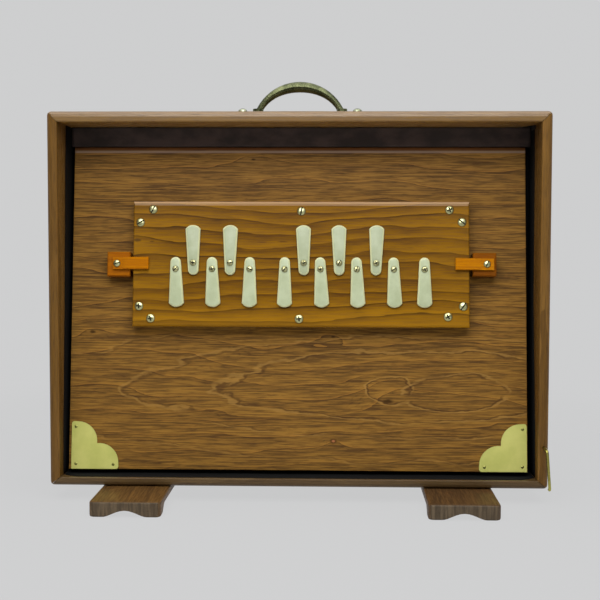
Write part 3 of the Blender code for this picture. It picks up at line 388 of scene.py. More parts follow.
def painted_light_by_facing(way, gain):
    """Painted light: faces that look the given way are brightened by the gain, most in red, for light that the lamps
    don't bring there.
    """

    def shade(tree, colour):
        facing = vector_node(tree, "DOT_PRODUCT", tree.nodes.new("ShaderNodeTexCoord").outputs["Normal"], way)
        inwards = steps_node(tree, facing, 0.6, 0.95)
        return mix_node(tree, inwards, colour, mix_node(tree, 1.0, colour, gain, "MULTIPLY"))

    return shade


CASE_FIGURE = dict(
    Rings=26.0, Wander=1.2, Lines=0.25, Fibres=0.4, Pores=0.35, Flecks=0.12, Ripples=0.15, Bands=0.8,
    Rough=0.33, relief=0.15,
)
CASE_LINE = (0.05, 0.024, 0.008)
# The top board's underside gets painted light, brightened and reddened.
give(
    wood_finish(
        "case_wood_top", gloss=0.5, shade=painted_light_by_facing((0.0, 0.0, -1.0), (2.0, 1.85, 1.3)), Pale=(0.245, 0.142, 0.044), Dark=(0.15, 0.08, 0.024), Line=CASE_LINE, **CASE_FIGURE
    ),
    "case_top_board",
)
give(
    wood_finish(
        "case_wood_bottom", gloss=0.3, Pale=(0.13, 0.08, 0.03), Dark=(0.075, 0.043, 0.016), Line=CASE_LINE, **CASE_FIGURE
    ),
    "case_bottom_board",
)
for name, shift in (("left", (0.2, 0.1, 0.3)), ("right", (0.5, 0.3, 0.7))):
    upright = wood_finish(
        "case_wood_" + name,
        along="Z",
        shift=shift,
        gloss=0.16,
        Pale=(0.225, 0.114, 0.026),
        Dark=(0.12, 0.058, 0.012),
        Line=CASE_LINE,
        **CASE_FIGURE,
    )
    give(upright, f"case_{name}_board")


# Feet: a board under each end of the case, its grain running from front to back. The sawn ends are
# greyer than the faces and show the end grain.
def end_grain(colour_there, share_there):
    def shade(tree, colour):
        facing = tree.nodes.new("ShaderNodeSeparateXYZ")
        tree.links.new(tree.nodes.new("ShaderNodeTexCoord").outputs["Normal"], facing.inputs[0])
        sawn = steps_node(tree, math_node(tree, "ABSOLUTE", facing.outputs["Y"]), 0.55, 0.85)
        stripes = noise_node(tree, object_place(tree), (420.0, 60.0, 36.0), 4, 0.65)
        pale = tuple(value * 1.35 for value in colour_there)
        dark = tuple(value * 0.6 for value in colour_there)
        ends = mix_node(tree, steps_node(tree, stripes, 0.36, 0.64), dark, pale)
        return mix_node(tree, math_node(tree, "MULTIPLY", sawn, share_there), colour, ends)

    return shade


for name, pale, dark in (
    ("foot_left", (0.161, 0.08, 0.02), (0.069, 0.033, 0.009)),
    ("foot_right", (0.11, 0.054, 0.017), (0.047, 0.023, 0.008)),
):
    foot_wood = wood_finish(
        name + "_wood",
        along="Y",
        gloss=0.25,
        shade=end_grain((0.1, 0.074, 0.045), 0.85),
        Rings=60.0,
        Wander=0.8,
        Pale=pale,
        Dark=dark,
        Line=CASE_LINE,
        Lines=0.5,
        Fibres=0.7,
        Pores=0.6,
        Flecks=0.15,
    )
    give(foot_wood, name)


# Handle and hook: the handle is one brass casting, lacquered and gone olive, held by two dome-headed
# screws. The hook is bent from brass rod.
def mottled_finish(name, pale, dark, size, rough, metallic, grain_strength, gloss=0.5):
    """An even material with soft clouds and fine specks, `size` being the clouds to the metre."""
    finish, tree, shader = new_finish(name)
    place = object_place(tree)
    cloud = noise_node(tree, place, (size,) * 3, 4, 0.6)
    speck = noise_node(tree, place, (size * 9,) * 3, 3, 0.6)
    both = math_node(tree, "MULTIPLY_ADD", cloud, 0.7, math_node(tree, "MULTIPLY", speck, 0.3))
    tree.links.new(mix_node(tree, steps_node(tree, both, 0.36, 0.64), dark, pale), shader.inputs["Base Color"])
    tree.links.new(math_node(tree, "MULTIPLY_ADD", speck, 0.18, rough - 0.09), shader.inputs["Roughness"])
    shader.inputs["Metallic"].default_value = metallic
    shader.inputs["Specular IOR Level"].default_value = gloss
    add_bump(tree, shader, speck, grain_strength, 0.0001)
    return finish


give(mottled_finish("handle_brass", (0.14, 0.151, 0.07), (0.037, 0.043, 0.018), 90, 0.28, 0.85, 0.1), "handle")
give(
    mottled_finish("handle_screw_brass", (0.4, 0.42, 0.3), (0.17, 0.19, 0.11), 260, 0.28, 0.9, 0.1),
    "handle_screw_left",
    "handle_screw_right",
)
give(mottled_finish("hook_brass", (0.5, 0.46, 0.12), (0.28, 0.25, 0.06), 150, 0.3, 1.0, 0.15), "lock_hook")


# Inside boards: the partition and, further on, the reed board are of a plain pale wood, sawn, planed and left bare. The
# partition's hinge rail is stained black.
bare_wood = wood_finish(
    "bare_wood",
    gloss=0.2,
    Rings=90.0,
    Wander=1.0,
    Pale=(0.5, 0.34, 0.19),
    Dark=(0.36, 0.22, 0.11),
    Line=(0.24, 0.13, 0.06),
    Lines=0.4,
    Fibres=0.4,
    Pores=0.15,
    Flecks=0.0,
)
give(bare_wood, "partition_board")
give(mottled_finish("rail_black_stain", (0.02, 0.019, 0.019), (0.01, 0.01, 0.01), 120, 0.6, 0.0, 0.3, 0.3), "hinge_rail")


# Lining: black cloth glued to the case's inner faces behind its front edges, with its front edge cut
# by eye. It hides the folds beside the panel.
def make_weave():
    """Plain weave: the height of the threads and the gaps between them."""
    group, given, out = new_group(
        "plain_weave", (("Place", None), ("Threads", 1400.0)), (("Height", "NodeSocketFloat"), ("Gap", "NodeSocketFloat"))
    )
    axes = group.nodes.new("ShaderNodeSeparateXYZ")
    group.links.new(given.outputs["Place"], axes.inputs[0])
    turn_rate = math_node(group, "MULTIPLY", given.outputs["Threads"], math.pi)
    across = math_node(group, "ADD", axes.outputs["X"], axes.outputs["Y"])
    over = math_node(group, "SINE", math_node(group, "MULTIPLY", across, turn_rate))
    under = math_node(group, "SINE", math_node(group, "MULTIPLY", axes.outputs["Z"], turn_rate))
    height = math_node(group, "ABSOLUTE", math_node(group, "MULTIPLY", over, under))
    group.links.new(height, out.inputs["Height"])
    group.links.new(math_node(group, "SUBTRACT", 1.0, steps_node(group, height, 0.05, 0.45)), out.inputs["Gap"])
    return group


plain_weave = make_weave()


def cloth_finish(name, pale, dark, rough, sheen=0.0, threads=1400.0):
    """Black cloth whose colour is uneven, with its weave in the bump and in the gaps' shade."""
    finish, tree, shader = new_finish(name)
    place = object_place(tree)
    woven = tree.nodes.new("ShaderNodeGroup")
    woven.node_tree = plain_weave
    woven.inputs["Threads"].default_value = threads
    tree.links.new(place, woven.inputs["Place"])
    cloud = noise_node(tree, place, (38.0, 38.0, 60.0), 4, 0.6)
    colour = mix_node(tree, steps_node(tree, cloud, 0.35, 0.65), dark, pale)
    deep = tuple(value * 0.5 for value in dark)
    gaps = math_node(tree, "MULTIPLY", woven.outputs["Gap"], 0.4)
    tree.links.new(mix_node(tree, gaps, colour, deep), shader.inputs["Base Color"])
    tree.links.new(math_node(tree, "MULTIPLY_ADD", cloud, 0.15, rough), shader.inputs["Roughness"])
    shader.inputs["Sheen Weight"].default_value = sheen
    shader.inputs["Specular IOR Level"].default_value = 0.2
    add_bump(tree, shader, woven.outputs["Height"], 0.35, 0.0002)
    return finish


lining_cloth = cloth_finish("lining_cloth", (0.0035, 0.004, 0.0045), (0.0016, 0.0018, 0.002), 0.75)


def sheet_piece(name, rows, thickness, finish, middle=0.0):
    """A thin piece from a grid of points, given thickness on both sides or, by `middle`, on one."""
    mesh = bpy.data.meshes.new(name)
    across = len(rows[0])
    faces = []
    for i in range(len(rows) - 1):
        for j in range(across - 1):
            first = i * across + j
            faces.append((first, first + 1, first + across + 1, first + across))
    mesh.from_pydata([tuple(point) for row in rows for point in row], [], faces)
    mesh.materials.append(finish)
    mesh.shade_smooth()
    piece = bpy.data.objects.new(name, mesh)
    bpy.context.scene.collection.objects.link(piece)
    flat_area = sum(face.area for face in mesh.polygons)
    thick = piece.modifiers.new("thickness", "SOLIDIFY")
    thick.thickness = thickness
    thick.offset = middle
    finish_shape(piece)
    return piece, flat_area


def finish_shape(piece):
    """Applies the piece's modifiers to its mesh."""
    bpy.context.view_layer.update()
    graph = bpy.context.evaluated_depsgraph_get()
    shaped = bpy.data.meshes.new_from_object(piece.evaluated_get(graph))
    shaped.name = piece.name
    piece.modifiers.clear()
    piece.data = shaped


def between(table, z):
    """The value at height z from (height, value) pairs that rise in height."""
    for (low, first), (high, second) in zip(table, table[1:]):
        if z <= high:
            break
    share = (z - low) / (high - low)
    return first + (second - first) * share


LINING_BACK = 12.9
LINING_FRONTS = {
    "left": ((20, -37.5), (60, -36), (160, -27), (270, -20), (304, -17)),
    "right": ((20, -37), (60, -34), (160, -18), (270, -15), (304, -13)),
}
LINING_HEIGHTS = (19.4, 303.6)
for word, side in (("left", -1), ("right", 1)):
    rows = []
    for i in range(61):
        z = LINING_HEIGHTS[0] + (LINING_HEIGHTS[1] - LINING_HEIGHTS[0]) * i / 60
        front = between(LINING_FRONTS[word], z) + 0.5 * noise.noise(Vector((side * 3.0, 0.4, z * 0.06)))
        row = []
        for j in range(9):
            y = front + (LINING_BACK - front) * j / 8
            loose = 0.12 * noise.noise(Vector((side * 5.0, y * 0.12, z * 0.09)))
            row.append(Vector((side * (191.26 - max(loose, 0.0)), y, z)) * MM)
        rows.append(row)
    lining, area = sheet_piece("side_lining_" + word, rows, 0.16 * MM, lining_cloth)
    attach(lining, "case")

rows = []
for i in range(97):
    x = -190.9 + 381.8 * i / 96
    from_corner = 190.9 - abs(x)
    rounding = 0.0 if from_corner > 13 else 9.0 * (1 - from_corner / 13) ** 1.6
    front = -45.6 + rounding + 0.35 * noise.noise(Vector((x * 0.05, 7.0, 0.0)))
    rows.append([Vector((x, front + (LINING_BACK - front) * j / 8, 19.22)) * MM for j in range(9)])
lining, _ = sheet_piece("bottom_lining", rows, 0.16 * MM, lining_cloth)
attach(lining, "case")

# A strip of the same cloth runs up the corner of partition and side board, so that no bare wood shows
# beside the folds when the panel is drawn in. Its outer edge is turned forward over the lining.
STRIP_INNER = 183.6
STRIP_CORNER = 190.9
STRIP_Y = 13.16
STRIP_TURNED = 2.9
STRIP_HEIGHTS = (19.6, 303.4)
for word, side in (("left", -1), ("right", 1)):
    rows = []
    for i in range(41):
        z = STRIP_HEIGHTS[0] + (STRIP_HEIGHTS[1] - STRIP_HEIGHTS[0]) * i / 40
        laid = [(STRIP_INNER + (STRIP_CORNER - STRIP_INNER) * j / 3, STRIP_Y) for j in range(4)]
        laid += [(STRIP_CORNER, STRIP_Y - STRIP_TURNED * j / 2) for j in (1, 2)]
        rows.append([Vector((side * x, y, z)) * MM for x, y in laid])
    strip, _ = sheet_piece("partition_strip_" + word, rows, 0.16 * MM, lining_cloth)
    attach(strip, "case")

# A patch with a slanting edge lies in the top right corner, on the top board's underside, and is turned down over the
# lining. Its cloth is paler than the lining: a painted highlight along the fold.
PATCH_REACH = 7.0
PATCH_TURNED = 3.2
PATCH_FOLD = 190.95
PATCH_Z = 303.62
PATCH_Y = (3.0, -19.0)
rows = []
for i in range(11):
    along = i / 10
    y = PATCH_Y[0] + (PATCH_Y[1] - PATCH_Y[0]) * along
    reach = PATCH_REACH * (1 - 0.95 * along)
    laid = [(PATCH_FOLD - reach * (1 - j / 4), PATCH_Z) for j in range(5)]
    laid += [(PATCH_FOLD, PATCH_Z - PATCH_TURNED * j / 2) for j in (1, 2)]
    rows.append([Vector((x, y, z)) * MM for x, z in laid])
turned_cloth_painted_highlight = cloth_finish("turned_lining_cloth_painted_highlight", (0.03, 0.027, 0.025), (0.014, 0.012, 0.011), 0.7)
corner, area = sheet_piece("lining_corner_turned", rows, 0.16 * MM, turned_cloth_painted_highlight)
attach(corner, "case")


# Panel hinge: a strip of black cloth glued down the rail's front and over the panel's top edge, so
# that the panel hangs and turns on it. It is creased where it hangs free.
PANEL_ZERO = Vector((0, 3.2, 284.8))
TILT = math.radians(7.56)
# The strip's cloth is given a far paler brown-grey than the black lining: painted light.
rail_cloth_painted_light = cloth_finish("rail_cloth_painted_light", (0.092, 0.064, 0.056), (0.045, 0.035, 0.031), 0.7)


def hinge_strip_point(x, way):
    """A point on the strip: way 0 is its top end, 1 is the end glued to the panel."""
    creases = noise.noise(Vector((x * 0.045, way * 2.0, 1.0))) + 0.5 * noise.noise(Vector((x * 0.13, way * 5.0, 4.0)))
    hanging = min(way / 0.62, 1.0)
    if way <= 0.62:
        z = 303.3 + (288.78 - 303.3) * hanging
        free = math.sin(math.pi * min(hanging * 1.05, 1.0))
        return Vector((x, 3.62 - 0.05 * free + 0.16 * creases * free, z))
    laid = (way - 0.62) / 0.38
    bend = min(laid / 0.3, 1.0)
    if bend < 1.0:
        angle = math.pi / 2 * bend
        return Vector((x, 3.62 + 1.0 * (1 - math.cos(angle)), 288.78 - 1.05 * math.sin(angle)))
    along = (laid - 0.3) / 0.7 * 6.6
    return Vector((x, 4.62 + along, 287.73))


rows = []
for i in range(161):
    x = -190.8 + 381.6 * i / 160
    rows.append([hinge_strip_point(x, j / 30) * MM for j in range(31)])
strip, _ = sheet_piece("panel_hinge_cloth", rows, 0.22 * MM, rail_cloth_painted_light)
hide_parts("reservoir_hinge_strip")
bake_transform(strip)


# Reservoir bellows: coated black cloth in even folds round the panel's sides and bottom, glued to the panel's back and
# to the partition. On the instrument the folds close up as the panel is drawn in; here they are built in one shape, for
# the panel at rest.
FOLD_DEPTH = 13.6
PARTITION_FRONT = 13.3
PARTITION_BACK = 21.3
bellows_cloth = cloth_finish("bellows_cloth", (0.011, 0.011, 0.012), (0.005, 0.005, 0.006), 0.5, threads=1000.0)


def fold_inset(share, plies):
    """How far inwards the folded cloth is, with its creases rounded, at this share of its span."""
    saw = abs((share * plies / 2) % 1.0 - 0.5) * 2
    rounded = 0.5 - 0.5 * math.cos(math.pi * saw)
    return FOLD_DEPTH * (1 - (0.72 * saw + 0.28 * rounded))


def folded_cloth(name, plies, half_width, middle_x, open_z, closed_z, span_at):
    """Cloth folded along a route down one side, round the closed end and up the other side."""
    way = 1 if open_z > closed_z else -1
    stations = []
    for i in range(25):
        height = open_z + (closed_z - open_z) * min(i / 24, 0.93)
        if i < 23:
            stations.append((-1, height, False))
    stations.append((-1, closed_z, True))
    stations += [(share, closed_z, True) for share in [k / 20 - 1 for k in range(1, 40)]]
    stations.append((1, closed_z, True))
    for i in range(22, -1, -1):
        stations.append((1, open_z + (closed_z - open_z) * min(i / 24, 0.93), False))
    rows = []
    for side, height, at_end in stations:
        row = []
        for k in range(plies * 6 + 1):
            share = k / (plies * 6)
            inset = fold_inset(share, plies)
            wrinkle = 0.25 * noise.noise(Vector((side * 9.0, height * 0.05, share * 9.0)))
            if at_end:
                x = middle_x + side * (half_width - inset)
                z = closed_z + way * inset
            else:
                x = middle_x + side * (half_width - inset)
                z = height
            near, far = span_at(z)
            y = near + share * (far - near) + wrinkle * math.sin(math.pi * share)
            row.append(Vector((x, y, z)) * MM)
        rows.append(row)
    return sheet_piece(name, rows, 0.3 * MM, bellows_cloth)


def reservoir_span(z):
    panel_back = PANEL_ZERO.y + (z - PANEL_ZERO.z) * math.tan(TILT) + 9 / math.cos(TILT)
    return panel_back + 0.5, PARTITION_FRONT - 0.5


reservoir_bellows, _ = folded_cloth("reservoir_folds", 6, 183.3, -1.0, 257.8, 27.2, reservoir_span)
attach(reservoir_bellows, "case")
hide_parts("reservoir_bellows")
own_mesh(reservoir_bellows)


# Front panel: one wide flat-sawn board of brown teak, oiled, its grain running across. Low on the
# right the rings swell into two closed loops round a knot, and there are four small knots besides.
def make_knot():
    """How strongly a knot of this place and size shows, and how far it pushes the rings aside."""
    group, given, out = new_group(
        "knot", (("Place", None), ("Its place", (0.0, 0.0, 0.0)), ("Reach place", (100.0, 0.0, 100.0))),
        (("Mask", "NodeSocketFloat"), ("Swell", "NodeSocketFloat"))
    )
    away = vector_node(group, "SUBTRACT", given.outputs["Place"], given.outputs["Its place"])
    scaled = vector_node(group, "MULTIPLY", away, given.outputs["Reach place"])
    distance = vector_node(group, "LENGTH", scaled, (0.0, 0.0, 0.0))
    ragged = noise_node(group, given.outputs["Place"], (260.0, 260.0, 420.0), 3, 0.6)
    core = math_node(group, "ADD", distance, math_node(group, "MULTIPLY", ragged, 0.6))
    group.links.new(math_node(group, "SUBTRACT", 1.0, steps_node(group, core, 0.6, 1.35)), out.inputs["Mask"])
    fall = math_node(group, "EXPONENT", math_node(group, "MULTIPLY", math_node(group, "POWER", distance, 2.0), -0.5))
    group.links.new(fall, out.inputs["Swell"])
    return group


knot = make_knot()


def make_growth_line():
    """The wavering outline of one growth layer: a thin dark line with a golden edge outside it."""
    group, given, out = new_group(
        "growth_line",
        (("Place", None), ("Its place", (0.0, 0.0, 0.0)), ("Reach place", (100.0, 0.0, 100.0)), ("High", 10.0)),
        (("Dark", "NodeSocketFloat"), ("Gold", "NodeSocketFloat")),
    )
    place = given.outputs["Place"]
    away = vector_node(group, "SUBTRACT", place, given.outputs["Its place"])
    scaled = vector_node(group, "MULTIPLY", away, given.outputs["Reach place"])
    distance = vector_node(group, "LENGTH", scaled, (0.0, 0.0, 0.0))
    off = math_node(group, "MULTIPLY", math_node(group, "SUBTRACT", distance, 1.0), given.outputs["High"])
    slow = math_node(group, "SUBTRACT", noise_node(group, place, (17.0, 52.0, 52.0), 3, 0.55), 0.5)
    quick = math_node(group, "SUBTRACT", noise_node(group, place, (60.0, 190.0, 190.0), 3, 0.6), 0.5)
    off = math_node(group, "MULTIPLY_ADD", slow, 15.0, off)
    off = math_node(group, "MULTIPLY_ADD", quick, 4.6, off)
    whole = steps_node(group, noise_node(group, place, (26.0, 70.0, 70.0), 2, 0.5), 0.32, 0.52)
    near = math_node(group, "SUBTRACT", 1.0, steps_node(group, math_node(group, "ABSOLUTE", off), 0.1, 0.9))
    group.links.new(math_node(group, "MULTIPLY", near, whole), out.inputs["Dark"])
    outside = math_node(group, "ABSOLUTE", math_node(group, "SUBTRACT", off, 1.2))
    edge = math_node(group, "SUBTRACT", 1.0, steps_node(group, outside, 0.2, 1.0))
    group.links.new(math_node(group, "MULTIPLY", edge, whole), out.inputs["Gold"])
    return group


growth_line = make_growth_line()


def on_panel(u, v, h=0.0):
    """A place on the leaning panel in metres: u right, v down from 2.5 mm below its top, h out of its face."""
    y = PANEL_ZERO.y - h * math.cos(TILT) - v * math.sin(TILT)
    z = PANEL_ZERO.z + h * math.sin(TILT) - v * math.cos(TILT)
    return Vector((u, y, z)) * MM


def marks(swells, knots, growth=()):
    """Swells are (u, v, half width, half height, rings), knots (u, v, half width, half height, colour) and
    growth (u, v, half width, half height, strength), all in mm but the last values."""

    def mark(tree, place):
        total = None
        for u, v, wide, high, rings in swells:
            spot = tree.nodes.new("ShaderNodeGroup")
            spot.node_tree = knot
            tree.links.new(place, spot.inputs["Place"])
            spot.inputs["Its place"].default_value = on_panel(u, v)
            spot.inputs["Reach place"].default_value = (1000 / wide, 0.0, 1000 / high)
            pushed = math_node(tree, "MULTIPLY", spot.outputs["Swell"], rings)
            total = pushed if total is None else math_node(tree, "ADD", total, pushed)

        def darken(colour):
            for u, v, wide, high, strength in growth:
                drawn = tree.nodes.new("ShaderNodeGroup")
                drawn.node_tree = growth_line
                tree.links.new(place, drawn.inputs["Place"])
                drawn.inputs["Its place"].default_value = on_panel(u, v)
                drawn.inputs["Reach place"].default_value = (1000 / wide, 0.0, 1000 / high)
                drawn.inputs["High"].default_value = high
                gold = math_node(tree, "MULTIPLY", drawn.outputs["Gold"], strength * 0.8)
                colour = mix_node(tree, gold, colour, (0.36, 0.2, 0.05))
                dark = math_node(tree, "MULTIPLY", drawn.outputs["Dark"], strength)
                colour = mix_node(tree, dark, colour, (0.065, 0.03, 0.012))
            for u, v, wide, high, shade in knots:
                spot = tree.nodes.new("ShaderNodeGroup")
                spot.node_tree = knot
                tree.links.new(place, spot.inputs["Place"])
                spot.inputs["Its place"].default_value = on_panel(u, v)
                spot.inputs["Reach place"].default_value = (1000 / wide, 0.0, 1000 / high)
                colour = mix_node(tree, math_node(tree, "MULTIPLY", spot.outputs["Mask"], 0.85), colour, shade)
            return colour

        return total, darken

    return mark


PANEL_SWELLS = (
    (76, 198, 18, 12, 0.8),
    (128, 202, 36, 12, 0.9),
    (27.9, 155.3, 9, 4, 0.5),
    (-38.8, 7.9, 8, 4, 0.4),
    (28.7, 240.5, 9, 5, 0.5),
    (-170.6, 151.9, 9, 4, 0.5),
)
PANEL_GROWTH = (
    (74, 198.6, 16.5, 11, 0.7),
    (129, 200.7, 37, 13, 0.65),
    (95, 196, 150, 28, 0.6),
    (100, 196, 230, 40, 0.5),
    (95, 200, 320, 56, 0.35),
)
DARK_KNOT = (0.035, 0.016, 0.006)
PANEL_KNOTS = (
    (73, 207.7, 5.5, 2.2, DARK_KNOT),
    (27.9, 155.3, 2.2, 1.3, DARK_KNOT),
    (-38.8, 7.9, 2.4, 1.2, DARK_KNOT),
    (-170.6, 151.9, 3.2, 1.8, DARK_KNOT),
    (28.7, 240.5, 3.6, 2.6, (0.05, 0.018, 0.006)),
    (28.7, 240.4, 1.9, 1.4, (0.42, 0.16, 0.06)),
)
PANEL_FIGURE = dict(
    gloss=0.05,
    relief=0.2,
    Rough=0.45,
    Rings=70.0,
    Wander=1.6,
    Pale=(0.3, 0.152, 0.029),
    Dark=(0.1, 0.05, 0.015),
    Line=(0.055, 0.026, 0.011),
    Fleck=(0.36, 0.165, 0.03),
    Lines=0.6,
    Fibres=0.72,
    Pores=0.4,
    Flecks=0.35,
    Ripples=0.24,
    Bands=0.5,
    Width=0.08,
    Edges=0.6,
)


def painted_top_edge_light(tree, colour):
    """Painted light on the rounded top edge: a painted shade band of darker red-brown above, and a pale painted
    highlight line where the rounding meets the face.
    """
    from_zero = vector_node(tree, "SUBTRACT", object_place(tree), tuple(PANEL_ZERO * MM))
    down = vector_node(tree, "DOT_PRODUCT", from_zero, (0.0, -math.sin(TILT) * 1000, -math.cos(TILT) * 1000))
    painted_shade_band = math_node(tree, "SUBTRACT", 1.0, steps_node(tree, down, 0.1, 0.9))
    colour = mix_node(tree, math_node(tree, "MULTIPLY", painted_shade_band, 0.75), colour, (0.15, 0.055, 0.022))
    off_line = math_node(tree, "ABSOLUTE", math_node(tree, "SUBTRACT", down, 1.5))
    painted_highlight = math_node(tree, "SUBTRACT", 1.0, steps_node(tree, off_line, 0.45, 1.45))
    return mix_node(tree, math_node(tree, "MULTIPLY", painted_highlight, 0.75), colour, (0.35, 0.25, 0.19))


panel_marks = marks(PANEL_SWELLS, PANEL_KNOTS, PANEL_GROWTH)
give(wood_finish("panel_wood", mark=panel_marks, shade=painted_top_edge_light, **PANEL_FIGURE), "front_panel")


# Reservoir spring: a steel leaf screwed to the partition, bent forward so that its curled tip slides
# on the panel's back and pushes it open.
def leaf_line():
    """The leaf's middle line as (y, z), from its fixed end to its tip."""
    tip_back = PANEL_ZERO.y + (74.3 - PANEL_ZERO.z) * math.tan(TILT) + 9 / math.cos(TILT)
    line = [(12.5, 192.3), (12.5, 164.3)]
    for i in range(1, 25):
        share = i / 24
        line.append((12.5 + (tip_back + 1.2 - 12.5) * share**1.5, 164.3 - 90 * share))
    for i in range(1, 9):
        angle = math.radians(12 + i * 9)
        line.append((tip_back + 1.2 + 7 * (1 - math.cos(angle)) * 0.8, 74.3 - 7.6 * math.sin(angle)))
    return line


steel = mottled_finish("spring_steel", (0.42, 0.43, 0.45), (0.26, 0.27, 0.3), 90, 0.3, 1.0, 0.1)
rows = []
for y, z in leaf_line():
    rows.append([Vector((-11 + 22 * j / 6, y, z)) * MM for j in range(7)])
leaf, _ = sheet_piece("spring_leaf", rows, 0.9 * MM, steel)
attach(leaf, "case")
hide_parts("reservoir_spring")
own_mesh(leaf)


# Reed board: pale wood behind the key board, with a brass reed plate let in at the back of each
# chamber.
def brass_behind(tree, colour):
    out_from_panel = vector_node(tree, "SUBTRACT", object_place(tree), tuple(PANEL_ZERO * MM))
    height = vector_node(tree, "DOT_PRODUCT", out_from_panel, (0.0, -math.cos(TILT), math.sin(TILT)))
    metal = math_node(tree, "SUBTRACT", 1.0, steps_node(tree, height, 0.00022, 0.0003))
    tree.links.new(metal, tree.nodes["Principled BSDF"].inputs["Metallic"])
    return mix_node(tree, metal, colour, (0.6, 0.5, 0.2))


reed_wood = wood_finish(
    "reed_board_wood",
    gloss=0.2,
    shade=brass_behind,
    Rings=90.0,
    Wander=1.0,
    Pale=(0.5, 0.34, 0.19),
    Dark=(0.36, 0.22, 0.11),
    Line=(0.24, 0.13, 0.06),
    Lines=0.4,
    Fibres=0.4,
    Pores=0.15,
    Flecks=0.0,
)
give(reed_wood, "reed_board")


# Key board: a thinner board of golden teak with long dark wavy lines, planed, varnished and screwed
# over the reed board by ten round-headed screws. A small knot shows at its left end.
KEY_BOARD_KNOTS = (
    (-132.5, 75.5, 4.5, 1.9, (0.05, 0.025, 0.01)),
    (-120.5, 76.5, 2.6, 1.0, (0.08, 0.035, 0.01)),
    (-13, 76.5, 5.5, 0.7, (0.1, 0.04, 0.01)),
    (-30, 77.0, 4.5, 0.6, (0.1, 0.04, 0.01)),
)


def pale_low_and_painted_top_highlight(tree, colour):
    """Paler low down and towards the ends, and a painted highlight on the top edge's faces that look upwards."""
    place = object_place(tree)
    height = vector_node(tree, "DOT_PRODUCT", place, (0.0, 0.0, 1.0))
    low = math_node(tree, "SUBTRACT", 1.0, steps_node(tree, height, 0.141, 0.165))
    sideways = math_node(tree, "ABSOLUTE", vector_node(tree, "DOT_PRODUCT", place, (1.0, 0.0, 0.0)))
    ends = math_node(tree, "MULTIPLY", steps_node(tree, sideways, 0.09, 0.135), 0.4)
    pale_low_and_at_ends = math_node(tree, "MAXIMUM", low, ends)
    colour = mix_node(tree, math_node(tree, "MULTIPLY", pale_low_and_at_ends, 0.2), colour, (0.52, 0.25, 0.012))
    # Painted highlight: the faces of the top edge that look upwards are mixed towards a pale pinkish brown.
    facing = tree.nodes.new("ShaderNodeTexCoord").outputs["Normal"]
    upwards = vector_node(tree, "DOT_PRODUCT", facing, (0.0, math.sin(TILT), math.cos(TILT)))
    painted_highlight = math_node(tree, "MULTIPLY", steps_node(tree, upwards, 0.03, 0.3), 0.75)
    return mix_node(tree, painted_highlight, colour, (0.62, 0.4, 0.22))


key_board_wood = wood_finish(
    "key_board_wood",
    shift=(0.13, 0.0, 0.045),
    gloss=0.08,
    relief=0.12,
    shade=pale_low_and_painted_top_highlight,
    Rough=0.32,
    mark=marks(((-132.5, 75.5, 14, 5, 0.7), (112, 135, 30, 9, 0.8), (88, 88, 52, 26, 0.9)), KEY_BOARD_KNOTS),
    Rings=95.0,
    Wander=2.3,
    Pale=(0.3, 0.139, 0.0065),
    Dark=(0.12, 0.05, 0.005),
    Line=(0.03, 0.012, 0.004),
    Fleck=(0.4, 0.17, 0.008),
    Lines=1.0,
    Fibres=0.35,
    Pores=0.2,
    Flecks=0.15,
    Ripples=0.1,
    Bands=1.05,
    Width=0.2,
)
give(key_board_wood, "key_board")


def screw_head(kind):
    """A round head of radius and height 1 with a straight slot or a cross cut in it."""
    head = bpy.data.meshes.new("screw_head_" + kind)
    bm = bmesh.new()
    profile = [bm.verts.new((math.sin(a), 0, math.cos(a))) for a in (math.radians(7.5 * i) for i in range(13))]
    rim = bm.verts.new((0.93, 0, -0.12))
    middle = bm.verts.new((0, 0, -0.12))
    line = profile + [rim, middle]
    edges = [bm.edges.new(pair) for pair in zip(line, line[1:])]
    bmesh.ops.spin(bm, geom=line + edges, axis=(0, 0, 1), cent=(0, 0, 0), angle=math.tau, steps=32, use_merge=True)
    bmesh.ops.remove_doubles(bm, verts=bm.verts, dist=0.001)
    bmesh.ops.recalc_face_normals(bm, faces=bm.faces)
    bm.to_mesh(head)
    bm.free()
    piece = bpy.data.objects.new("screw_head_" + kind, head)
    bpy.context.scene.collection.objects.link(piece)
    cutters = []
    shapes = [(1.2, 0.16, 0.0)] if kind == "slot" else [(0.6, 0.17, 0.0), (0.6, 0.17, math.pi / 2)]
    for half_length, half_width, angle in shapes:
        cut = bpy.data.meshes.new("slot")
        bm = bmesh.new()
        size = Matrix.Diagonal((2 * half_length, 2 * half_width, 1.6, 1))
        place = Matrix.Rotation(angle, 4, "Z") @ Matrix.Translation((0, 0, 1.05)) @ size
        bmesh.ops.create_cube(bm, size=1, matrix=place)
        bm.to_mesh(cut)
        bm.free()
        cutter = bpy.data.objects.new("slot", cut)
        bpy.context.scene.collection.objects.link(cutter)
        cutters.append(cutter)
        taken = piece.modifiers.new("slot", "BOOLEAN")
        taken.solver = "EXACT"
        taken.object = cutter
    finish_shape(piece)
    shaped = piece.data
    bpy.data.objects.remove(piece)
    for cutter in cutters:
        bpy.data.objects.remove(cutter)
    shaped.shade_smooth()
    shaped.set_sharp_from_angle(angle=math.radians(40))
    return shaped


HEADS = {kind: screw_head(kind) for kind in ("slot", "cross")}
OUT_OF_PANEL = Matrix.Rotation(math.radians(90) - TILT, 4, "X")


